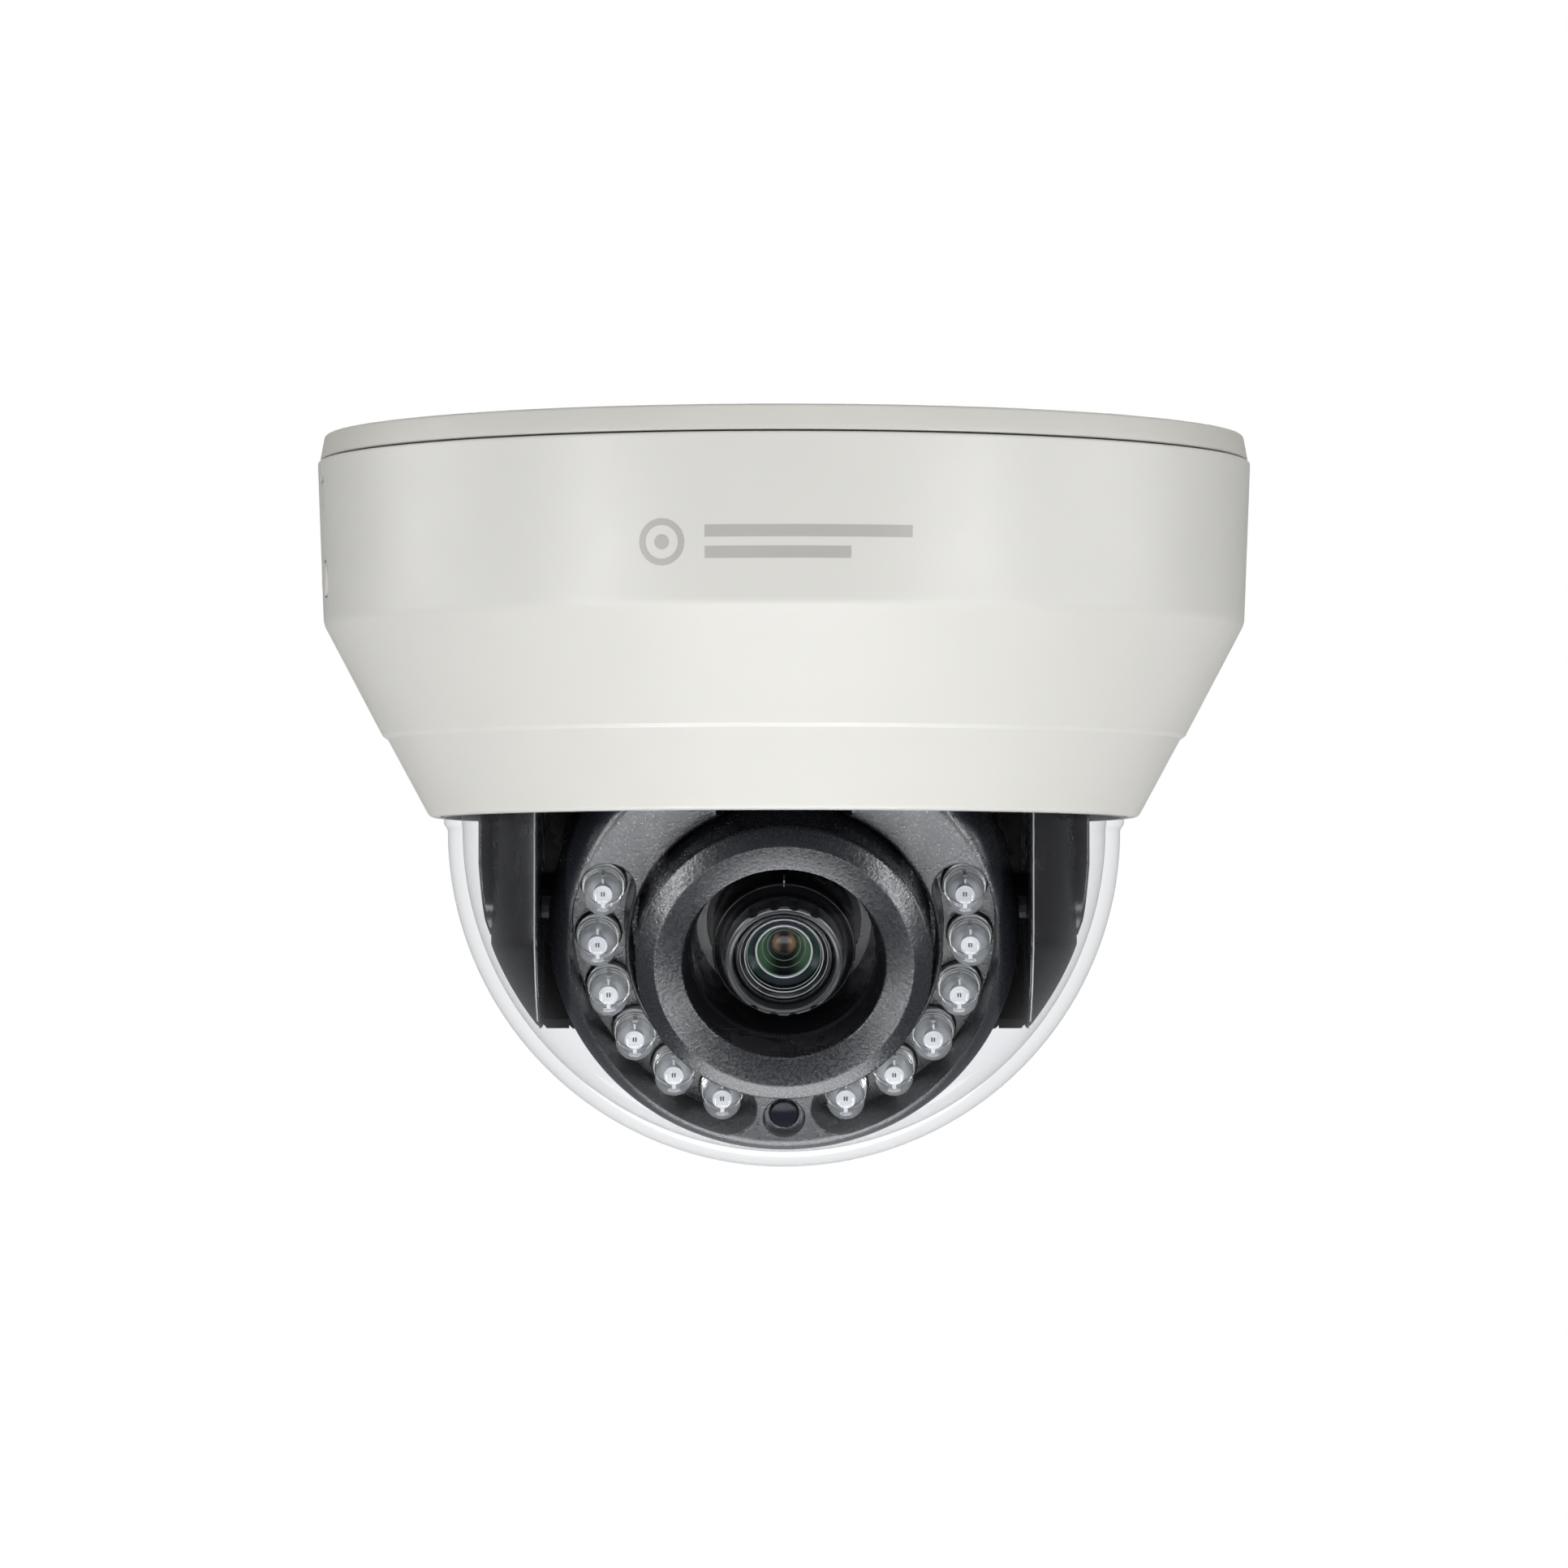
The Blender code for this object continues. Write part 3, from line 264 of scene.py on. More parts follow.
def block(name, low, high, edge=0.2 * MM, turn=HERE):
    """A box with rounded edges."""
    bm = bmesh.new()
    bmesh.ops.create_cube(bm, size=1.0)
    for vert in bm.verts:
        for axis in range(3):
            vert.co[axis] = low[axis] if vert.co[axis] < 0.0 else high[axis]
    if edge > 0.0:
        bmesh.ops.bevel(bm, geom=bm.edges[:], offset=edge, segments=2, profile=0.6, affect="EDGES")
    return made(name, bm, turn)


def combine(obj, other, operation="DIFFERENCE"):
    """Cuts, joins or intersects two meshes for good, and removes the second object."""
    modifier = obj.modifiers.new("boolean", "BOOLEAN")
    modifier.operation = operation
    modifier.object = other
    bpy.context.view_layer.update()
    mesh = bpy.data.meshes.new_from_object(obj.evaluated_get(bpy.context.evaluated_depsgraph_get()))
    obj.modifiers.clear()
    obj.data = mesh
    mesh.set_sharp_from_angle(angle=math.radians(32.0))
    bpy.data.objects.remove(other, do_unlink=True)
    return obj


def merge(name, pieces):
    """One object that holds several meshes."""
    bm = bmesh.new()
    for piece in pieces:
        bm.from_mesh(piece.data)
        bpy.data.objects.remove(piece, do_unlink=True)
    mesh = bpy.data.meshes.new(name)
    bm.to_mesh(mesh)
    bm.free()
    obj = bpy.data.objects.new(name, mesh)
    bpy.context.scene.collection.objects.link(obj)
    return obj


def dress(obj, body, slot, material, *nodes):
    """Gives a piece its material and body, and hides the CAD nodes that it stands for."""
    obj.data.materials.clear()
    obj.data.materials.append(material)
    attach(obj, body)
    if nodes:
        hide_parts(*nodes)
    return obj


# ---------------------------------------------------------------- materials
# key, name, colour, roughness, grain's size and depth in mm, and other sockets or settings
PLASTICS = (
    ("white", "warm_white_plastic", (0.448, 0.444, 0.423), 0.40, 0.18, 0.004, {"share": 0.008}),
    ("rim", "grey_white_plastic", (0.415, 0.406, 0.378), 0.45, 0.2, 0.005, {"share": 0.01}),
    ("black", "black_satin_plastic", (0.008, 0.008, 0.010), 0.26, 0.14, 0.003, {}),
    ("lens_black", "lens_black", (0.004, 0.004, 0.005), 0.26, 0.2, 0.002, {"Specular_IOR_Level": 0.3}),
    ("rubber", "black_rubber", (0.02, 0.02, 0.02), 0.75, 0.3, 0.02, {}),
    ("steel", "zinc_steel", (0.62, 0.62, 0.65), 0.28, 0.15, 0.006, {"metallic": 1.0}),
    ("ring", "black_anodised", (0.02, 0.021, 0.023), 0.22, 0.3, 0.002, {"Specular_IOR_Level": 0.6}),
    ("black_steel", "blackened_steel", (0.02, 0.02, 0.022), 0.45, 0.2, 0.004, {"metallic": 1.0}),
    # the next colour is a near-white that paints the highlights inside the LEDs
    ("painted_white_highlight", "painted_highlight_white", (0.92, 0.93, 0.95), 0.25, 0.3, 0.01, {}),
    # the next two colours paint highlights: a pale grey along thin edges of the arms and the lens, and a dimmer
    # grey for faint rings inside the lens, also used for the zoom collar's mark
    ("bead", "painted_highlight_grey", (0.30, 0.31, 0.32), 0.30, 0.3, 0.002, {}),
    ("dim_bead", "dim_edge", (0.10, 0.115, 0.10), 0.30, 0.3, 0.002, {}),
    ("black_board", "black_solder_mask", (0.012, 0.012, 0.013), 0.35, 0.4, 0.01, {}),
    ("chip", "black_epoxy", (0.03, 0.03, 0.035), 0.40, 0.1, 0.006, {}),
    ("silver", "silver_plate", (0.92, 0.92, 0.90), 0.22, 0.2, 0.004, {"metallic": 1.0}),
    ("led_grey", "led_seat_grey", (0.84, 0.85, 0.88), 0.3, 0.4, 0.02, {"share": 0.25}),
    ("sensor", "dark_blue_epoxy", (0.003, 0.004, 0.012), 0.10, 0.5, 0.002, {"Specular_IOR_Level": 0.12}),
)
# the same, with the specular level last
GRAINED = (
    ("bezel", "black_fine_grain", (0.012, 0.013, 0.017), 0.31, 0.32, 0.013, 0.9),
    ("hood", "black_coarse_grain", (0.010, 0.011, 0.014), 0.27, 0.36, 0.015, 0.8),
)
# key, name, colour at the middle and at the sides, distance between them in mm, and coat; the colours are painted
# reflections of the lens coatings
PAINTED_COATING_REFLECTIONS = (
    ("glow", "green_painted_coating_reflection", (0.004, 0.006, 0.006), (0.05, 0.11, 0.06), 3.4, 0.0),
    ("outer_glow", "teal_painted_coating_reflection", (0.020, 0.024, 0.030), (0.008, 0.022, 0.018), 4.3, 0.0),
    ("inner_glow", "amber_painted_coating_reflection", (0.006, 0.005, 0.006), (0.22, 0.13, 0.06), 1.3, 0.05),
)
# key, name, tint, cloud, edge and shine as layered_clear takes them, and roughness
CLEARS = (
    # the first is a hazy clear that paints the light line at the bubble's neck
    ("neck", "bubble_neck_edge", (0.98, 0.98, 0.98), 0.42, (2.0, 0.1), (2.0, 0.1, 0.0), 0.1),
    ("epoxy", "clear_epoxy", (0.97, 0.98, 0.99), 0.12, (2.0, 0.34), (3.0, 0.55, 0.04), 0.03),
    ("bubble", "clear_polycarbonate", (0.955, 0.960, 0.966), 0.0, (7.0, 0.42), (7.0, 0.16, 0.001), 0.03),
)


class Shader:
    """A Principled material whose nodes are added one call at a time."""

    def __init__(self, name, colour, roughness, metallic=0.0, **sockets):
        self.material = bpy.data.materials.new(name)
        self.material.use_nodes = True
        self.tree = self.material.node_tree
        self.principled = self.tree.nodes["Principled BSDF"]
        self.colour, self.roughness = colour, roughness
        self.set("Base Color", (*colour, 1.0))
        self.set("Roughness", roughness)
        self.set("Metallic", metallic)
        for socket, value in sockets.items():
            self.set(socket.replace("_", " "), value)

    def set(self, socket, value):
        self.principled.inputs[socket].default_value = value

    def node(self, kind, **values):
        node = self.tree.nodes.new(kind)
        for key, value in values.items():
            setattr(node, key, value)
        return node

    def link(self, source, target):
        self.tree.links.new(source, target)

    def place(self):
        return self.node("ShaderNodeTexCoord").outputs["Object"]

    def noise(self, size, detail=2.0):
        """Noise whose features are about size metres across."""
        noise = self.node("ShaderNodeTexNoise")
        noise.inputs["Scale"].default_value = 1.0 / size
        noise.inputs["Detail"].default_value = detail
        self.link(self.place(), noise.inputs["Vector"])
        return noise.outputs["Fac"]

    def spread(self, factor, low, high, dark=0.3, light=0.7):
        """Maps a 0 to 1 factor, clipped at dark and light, to low..high."""
        spread = self.node("ShaderNodeMapRange")
        for socket, value in zip(("From Min", "From Max", "To Min", "To Max"), (dark, light, low, high)):
            spread.inputs[socket].default_value = value
        self.link(factor, spread.inputs["Value"])
        return spread.outputs["Result"]

    def bump(self, height, strength, depth):
        bump = self.node("ShaderNodeBump")
        bump.inputs["Strength"].default_value = strength
        bump.inputs["Distance"].default_value = depth
        self.link(height, bump.inputs["Height"])
        self.link(bump.outputs["Normal"], self.principled.inputs["Normal"])

    def mottle(self, size, share):
        """Varies the colour a little about its own value."""
        mix = self.node("ShaderNodeMix", data_type="RGBA")
        mix.inputs["A"].default_value = (*[c * (1.0 - share) for c in self.colour], 1.0)
        mix.inputs["B"].default_value = (*[min(1.0, c * (1.0 + share)) for c in self.colour], 1.0)
        self.link(self.spread(self.noise(size), 0.0, 1.0), mix.inputs["Factor"])
        self.link(mix.outputs["Result"], self.principled.inputs["Base Color"])

    def vary_roughness(self, size, amount):
        value = self.spread(self.noise(size), self.roughness - amount, self.roughness + amount)
        self.link(value, self.principled.inputs["Roughness"])


def moulded(name, colour, roughness, grain=0.25 * MM, depth=0.01 * MM, strength=0.3, share=0.03, **more):
    """Moulded plastic or painted metal: fine grain, slight mottling and uneven gloss."""
    shader = Shader(name, colour, roughness, **more)
    shader.mottle(14.0 * MM, share)
    shader.vary_roughness(5.0 * MM, 0.04)
    shader.bump(shader.noise(grain, 3.0), strength, depth)
    return shader.material


def leathery(name, colour, roughness, grain, depth, **more):
    """Spark-eroded black plastic: fine rounded pebbles that catch the light one by one."""
    shader = Shader(name, colour, roughness, **more)
    shader.mottle(9.0 * MM, 0.06)
    shader.vary_roughness(grain, 0.06)
    shader.bump(shader.spread(shader.noise(grain, 1.0), 0.0, 1.0, 0.3, 0.7), 1.0, depth)
    return shader.material


def board_green():
    """Green solder mask with paler copper traces under it."""
    shader = Shader("solder_mask", (0.012, 0.13, 0.055), 0.32)
    bricks = shader.node("ShaderNodeTexBrick", offset=0.37, squash=0.6, squash_frequency=3)
    for socket, value in (("Scale", 1.0), ("Mortar Size", 0.14 * MM), ("Brick Width", 5.1 * MM)):
        bricks.inputs[socket].default_value = value
    bricks.inputs["Row Height"].default_value = 1.3 * MM
    bricks.inputs["Color1"].default_value = (0.010, 0.11, 0.045, 1.0)
    bricks.inputs["Color2"].default_value = (0.013, 0.14, 0.060, 1.0)
    bricks.inputs["Mortar"].default_value = (0.03, 0.25, 0.11, 1.0)
    shader.link(shader.place(), bricks.inputs["Vector"])
    shader.link(bricks.outputs["Color"], shader.principled.inputs["Base Color"])
    shader.bump(bricks.outputs["Fac"], 0.3, 0.02 * MM)
    return shader.material


def layered_clear(name, tint, cloud, edge, shine, roughness):
    """Clear plastic without refraction: cloudier and more mirror-like where it turns away."""
    material = bpy.data.materials.new(name)
    material.use_nodes = True
    tree = material.node_tree
    tree.nodes.clear()
    weight = tree.nodes.new("ShaderNodeLayerWeight")
    weight.inputs["Blend"].default_value = 0.5

    def rise(power, scale, base):
        """base, plus scale times a power of how far the surface turns away."""
        raised = tree.nodes.new("ShaderNodeMath")
        raised.operation = "POWER"
        raised.inputs[1].default_value = power
        tree.links.new(weight.outputs["Facing"], raised.inputs[0])
        scaled = tree.nodes.new("ShaderNodeMath")
        scaled.operation = "MULTIPLY_ADD"
        scaled.inputs[1].default_value = scale
        scaled.inputs[2].default_value = base
        tree.links.new(raised.outputs[0], scaled.inputs[0])
        return scaled.outputs[0]

    def mixed(factor, first, second):
        mix = tree.nodes.new("ShaderNodeMixShader")
        tree.links.new(factor, mix.inputs[0])
        tree.links.new(first.outputs[0], mix.inputs[1])
        tree.links.new(second.outputs[0], mix.inputs[2])
        return mix

    see = tree.nodes.new("ShaderNodeBsdfTransparent")
    see.inputs["Color"].default_value = (*tint, 1.0)
    haze = tree.nodes.new("ShaderNodeBsdfPrincipled")
    haze.inputs["Base Color"].default_value = (0.62, 0.63, 0.65, 1.0)
    haze.inputs["Roughness"].default_value = 0.25
    mirror = tree.nodes.new("ShaderNodeBsdfGlossy")
    mirror.inputs["Roughness"].default_value = roughness
    body = mixed(rise(edge[0], edge[1], cloud), see, haze)
    whole = mixed(rise(shine[0], shine[1], shine[2]), body, mirror)
    out = tree.nodes.new("ShaderNodeOutputMaterial")
    tree.links.new(whole.outputs[0], out.inputs["Surface"])
    return material


def coating_painted_reflection(name, middle, sides, width, coat=0.0):
    """Coated glass with its coloured reflections painted into its colour, which goes from the middle to the sides
    across width metres.
    """
    shader = Shader(name, middle, 0.12, Coat_Weight=coat, Coat_Roughness=0.02, Specular_IOR_Level=0.15)
    split = shader.node("ShaderNodeSeparateXYZ")
    shader.link(shader.place(), split.inputs[0])
    across = shader.node("ShaderNodeMath", operation="ABSOLUTE")
    shader.link(split.outputs["X"], across.inputs[0])
    ramp = shader.node("ShaderNodeValToRGB")
    ramp.color_ramp.interpolation = "EASE"
    for stop, colour in zip(ramp.color_ramp.elements, (middle, sides)):
        stop.color = (*colour, 1.0)
    uneven = shader.node("ShaderNodeMath", operation="MULTIPLY")
    shader.link(shader.spread(across.outputs[0], 0.0, 1.0, 0.15 * width, width), uneven.inputs[0])
    shader.link(shader.spread(shader.noise(2.5 * MM, 0.0), 0.75, 1.1), uneven.inputs[1])
    shader.link(uneven.outputs[0], ramp.inputs[0])
    shader.link(ramp.outputs["Color"], shader.principled.inputs["Base Color"])
    return shader.material


def make_materials():
    m = {
        "board": board_green(),
        "print": moulded("grey_print", (0.30, 0.29, 0.275), 0.42, share=0.03),
        "grey": moulded("dark_grey_plastic", (0.045, 0.046, 0.05), 0.45, share=0.05),
        "header": moulded("cream_nylon", (0.70, 0.68, 0.60), 0.50),
    }
    for key, name, colour, roughness, grain, depth, more in PLASTICS:
        m[key] = moulded(name, colour, roughness, grain * MM, depth * MM, **more)
    for key, name, colour, roughness, grain, depth, level in GRAINED:
        m[key] = leathery(name, colour, roughness, grain * MM, depth * MM, Specular_IOR_Level=level)
    for key, name, middle, sides, width, coat in PAINTED_COATING_REFLECTIONS:
        m[key] = coating_painted_reflection(name, middle, sides, width * MM, coat)
    for key, *clear in CLEARS:
        m[key] = layered_clear(*clear)
    return m


# ---------------------------------------------------------------- cover, base and bubble
def cover_outline():
    slope = math.atan2(SHOULDER[0] - STEP_UPPER[0], SHOULDER[1] - STEP_UPPER[1])
    across = WALL / math.cos(slope)
    return rounded(
        [
            (COVER_R - WALL, COVER_TOP_Z),
            (COVER_R, COVER_TOP_Z, 0.35 * MM),
            (*SHOULDER, 3.2 * MM),
            (*STEP_UPPER, 0.15 * MM),
            (*STEP_LOWER, 0.08 * MM),
            (45.7 * MM, COVER_BOTTOM_Z, 1.3 * MM),
            (OPENING_R, COVER_BOTTOM_Z, 0.25 * MM),
            (OPENING_R, LEDGE_Z),
            (LEDGE_R, LEDGE_Z),
            (STEP_UPPER[0] - across, STEP_LOWER[1] - 0.4 * MM),
            (SHOULDER[0] - WALL, SHOULDER[1] - 0.8 * MM),
        ]
    )


def sideways(bearing, z):
    """Turns +Z outwards from the centre at a bearing, with +X down."""
    return (
        Matrix.Translation((0.0, 0.0, z))
        @ Matrix.Rotation(math.radians(bearing), 4, "Z")
        @ Matrix.Rotation(math.radians(90.0), 4, "Y")
    )


def arrow_outline(grow=0.0):
    """An arrow that points up, centred on its own middle. -X is up."""
    tip, neck, tail = -2.8 * MM - grow, -0.7 * MM + grow, 2.8 * MM + grow
    wing, stem = 1.75 * MM + grow, 0.55 * MM + grow
    right = [(tip, 0.0), (neck, wing), (neck, stem), (tail, stem)]
    return right + [(x, -y) for x, y in reversed(right[1:])]


def make_cover(m):
    cover = lathe("cover_skin", cover_outline())
    side = sideways(BUTTON_BEARING, BUTTON_Z)
    hole = [(BUTTON_R + 0.25 * MM, 50 * MM), (BUTTON_R + 0.25 * MM, 70 * MM)]
    combine(cover, lathe("button_hole", [(0.0, 70 * MM), *hole[::-1], (0.0, 50 * MM)], side, SMALL))
    depth = COVER_R - 0.65 * MM
    levels = [(depth, arrow_outline()), (COVER_R + 2 * MM, arrow_outline())]
    combine(cover, prism("arrow", levels, sideways(BUTTON_BEARING, -7.2 * MM)))
    dress(cover, "cover", "white_plastic", m["white"], "cover_shell")
    face = 59.85 * MM
    outline = rounded(
        [
            (0.0, face + 0.12 * MM),
            (BUTTON_R, face, 0.5 * MM),
            (BUTTON_R, 56.9 * MM),
            (3.4 * MM, 56.9 * MM, 0.1 * MM),
            (3.4 * MM, 56.2 * MM, 0.1 * MM),
            (0.0, 56.2 * MM),
        ]
    )
    button = lathe("release_button_cap", outline, side, SMALL)
    dress(button, "button", "white_plastic", m["rim"], "release_button")
    make_mark(m)


def on_cover(across, z, lift):
    """The point on the cover's cylinder at a distance round from its front and a height."""
    drop = (COVER_TOP_Z - z) / (COVER_TOP_Z - SHOULDER[1])
    radius = COVER_R + (SHOULDER[0] - COVER_R) * drop + lift
    angle = across / COVER_R
    return (radius * math.sin(angle), -radius * math.cos(angle), z)


def printed(name, outline):
    """A thin layer of ink on the cover, inside an outline of (across, z) points."""
    bm = bmesh.new()
    low = [bm.verts.new(on_cover(x, z, -0.02 * MM)) for x, z in outline]
    high = [bm.verts.new(on_cover(x, z, 0.012 * MM)) for x, z in outline]
    bm.faces.new(high)
    bm.faces.new(low[::-1])
    for i in range(len(outline)):
        j = (i + 1) % len(outline)
        bm.faces.new((low[i], low[j], high[j], high[i]))
    return made(name, bm)


def bar_cells(low_x, high_x, low_z, high_z, steps=16):
    """The short cells of a printed bar, which follow the cover's curve."""
    xs = [low_x + (high_x - low_x) * i / steps for i in range(steps + 1)]
    return [[(a, low_z), (b, low_z), (b, high_z), (a, high_z)] for a, b in zip(xs, xs[1:])]


def make_mark(m):
    """A plain printed mark in place of lettering: a ring, a dot and two bars."""
    pieces = []
    outer, inner = MARK_RING_R
    for i in range(MARK_SIDES):
        a, b = 360.0 * i / MARK_SIDES, 360.0 * (i + 1) / MARK_SIDES
        quad = [polar(outer, a), polar(outer, b), polar(inner, b), polar(inner, a)]
        pieces.append(printed("ring_part", [(x + MARK_RING_X, MARK_Z + z) for x, z in quad]))
    dot = [polar(MARK_DOT_R, 360.0 * i / MARK_SIDES) for i in range(MARK_SIDES)]
    pieces.append(printed("dot", [(x + MARK_RING_X, MARK_Z + z) for x, z in dot]))
    for low_z, high_z, end in MARK_BARS:
        for cell in bar_cells(MARK_BAR_START, end * MM, MARK_Z + low_z * MM, MARK_Z + high_z * MM):
            pieces.append(printed("bar", cell))
    dress(merge("printed_mark", pieces), "cover", "white_plastic", m["print"])


def slot_outline(bearing):
    """A curved screw slot with round ends."""
    radius, half_w, spread = 48.5 * MM, 2.5 * MM, 6.0
    points = []
    for way in (1.0, -1.0):
        for i in range(13):
            turn = bearing + way * (-spread + 2.0 * spread * i / 12)
            points.append(polar(radius + way * half_w, turn))
        end = bearing + way * spread
        cx, cy = polar(radius, end)
        for i in range(1, 8):
            dx, dy = polar(half_w, end + (0.0 if way > 0 else 180.0) + 22.5 * i)
            points.append((cx + dx, cy + dy))
    return points


def make_base(m):
    outline = rounded(
        [
            (0.0, 0.0),
            (BASE_TOP_R, 0.0, 0.5 * MM),
            (BASE_R, -BASE_H - 0.4 * MM, 0.3 * MM),
            (SKIRT_R + 0.8 * MM, -BASE_H - 0.4 * MM),
            (SKIRT_R + 0.8 * MM, -BASE_H),
            (SKIRT_R, -BASE_H),
            (SKIRT_R, -11.0 * MM, 0.3 * MM),
            (SKIRT_R - 1.8 * MM, -11.0 * MM, 0.3 * MM),
            (SKIRT_R - 1.8 * MM, -BASE_H),
            (0.0, -BASE_H),
        ]
    )
    base = lathe("base_shell", outline)
    combine(base, lathe("cable_cut", rod_outline(9.0 * MM, 5 * MM, -9 * MM), CABLE_EXIT, MEDIUM))
    for bearing in SLOT_BEARINGS:
        shape = slot_outline(bearing)
        combine(base, prism("slot", [(-5 * MM, shape), (2 * MM, shape)]))
        spot = polar(36.0 * MM, bearing)
        combine(base, hollow_post(spot, 3.0, 1.3, -7.7), "UNION")
        spot = polar(47.5 * MM, bearing + 60.0)
        combine(base, hollow_post(spot, 3.6, 1.6, -19.7), "UNION")
    combine(base, make_tongue(), "UNION")
    for i in range(SKIRT_RIBS):
        turn = Matrix.Rotation(math.radians(360.0 / SKIRT_RIBS * (i + 0.5)), 4, "Z")
        rib = block("rib", (53.2 * MM, -0.5 * MM, -6.0 * MM), (55.8 * MM, 0.5 * MM, -2.0 * MM), 0.0, turn)
        combine(base, rib, "UNION")
    dress(base, "base", "rim_plastic", m["rim"], "base_plate")


def rod_outline(radius, high, low):
    return [(0.0, high), (radius, high), (radius, low), (0.0, low)]


def hollow_post(spot, radius, bore, low):
    """A moulded screw post under the base, with radii and its lowest point in mm."""
    outline = mm([(bore, -1.0), (radius, -1.0), (radius, low), (bore, low)])
    return lathe("post", outline, Matrix.Translation((*spot, 0.0)), SMALL)


def make_tongue():
    turn = Matrix.Rotation(math.radians(BUTTON_BEARING), 4, "Z")
    tongue = block("tongue", (53.4 * MM, -4.5 * MM, -23.8 * MM), (55.0 * MM, 4.5 * MM, -1.0 * MM), 0.0, turn)
    tooth = mm([(54.6, -12.2), (56.8, -12.2), (54.6, -15.0)])
    rings = [[(x, y, z) for x, z in tooth] for y in (-4.4 * MM, 4.4 * MM)]
    return combine(tongue, loft("tooth", rings, turn), "UNION")


def make_grommet(m):
    corners = [
        (4.5, -0.3, 0.3), (8.7, -0.3, 0.3), (8.7, -3.1), (10.9, -3.1, 0.2), (10.7, -4.6, 0.5),
        (6.5, -6.2, 0.5), (4.5, -6.2, 0.3),
    ]
    grommet = lathe("cable_grommet_ring", rounded(mm(corners)), CABLE_EXIT, MEDIUM)
    dress(grommet, "base", "rubber", m["rubber"], "cable_grommet")


def make_bubble(m):
    inner_r = BUBBLE_R - BUBBLE_WALL
    neck_in = inner_r + 0.1 * MM
    flange = -43.0 * MM
    outer = arc(0.0, BUBBLE_CENTRE_Z, BUBBLE_R, 0.0, -90.0, 40)
    inner = arc(0.0, BUBBLE_CENTRE_Z, inner_r, -90.0, 0.0, 40)
    outline = [
        (0.0, BUBBLE_CENTRE_Z - inner_r),
        *inner[1:],
        (neck_in, NECK_STEP_Z),
        (neck_in, flange + 1.5 * MM),
        (FLANGE_R, flange + 1.5 * MM),
        (FLANGE_R, flange),
        (NECK_R, flange),
        *rounded([(NECK_R, flange), (NECK_R, NECK_STEP_Z, 0.2 * MM), outer[0]])[1:-1],
        *outer[:-1],
        (0.0, BUBBLE_CENTRE_Z - BUBBLE_R),
    ]
    bubble = lathe("bubble_skin", outline, sharp=25.0)
    dress(bubble, "cover", "clear_polycarbonate", m["bubble"], "dome_bubble")
    # a thin hazy band round the neck that paints the light line along the neck's edge
    low, high = NECK_LINE
    inside, outside = NECK_R - 0.2 * MM, NECK_R + 0.05 * MM
    edge = [(inside, high), (outside, high), (outside, low), (inside, low)]
    dress(lathe("bubble_neck_line", edge), "cover", "clear_polycarbonate", m["neck"])
    ring = rounded(mm([(41.9, -39.4, 0.3), (47.7, -39.4, 0.3), (47.7, -41.2), (41.9, -41.2, 0.2)]))
    dress(lathe("bubble_retainer_ring", ring), "cover", "black_plastic", m["black"], "bubble_retainer")


# ---------------------------------------------------------------- yoke
def arm_radius(z, radius, ball_r):
    """How far out an arm reaches at a height: a cylinder above, a ball below."""
    inside = ball_r**2 - min(0.0, z - BUBBLE_CENTRE_Z) ** 2
    return min(radius, math.sqrt(inside))


def arm_section(z, inset):
    """A slice of an arm: an arc outside and a straight face inside, with round corners."""
    face = ARM_X + inset
    radius = max(arm_radius(z, ARM_R, ARM_BALL_R) - inset, face + 0.05 * MM)
    half = math.sqrt(radius**2 - face**2)
    spread = math.degrees(math.atan2(half, face))
    corners = [(face, -half, 0.9 * MM)]
    corners += [polar(radius, -spread + 2.0 * spread * i / 24) for i in range(1, 24)]
    corners += [(face, half, 0.9 * MM)]
    section = []
    for i, corner in enumerate(corners):
        if len(corner) == 2:
            section.append(corner)
            continue
        here = Vector(corner[:2])
        start = Vector(corners[i - 1][:2])
        near = here.lerp(start, min(1.0, 1.6 * MM / (start - here).length))
        trio = [tuple(near), corner, corners[(i + 1) % len(corners)][:2]]
        section += rounded(trio, 5)[1:-1]
    return section


def heights(low, high, count):
    return [low + (high - low) * i / count for i in range(count + 1)]


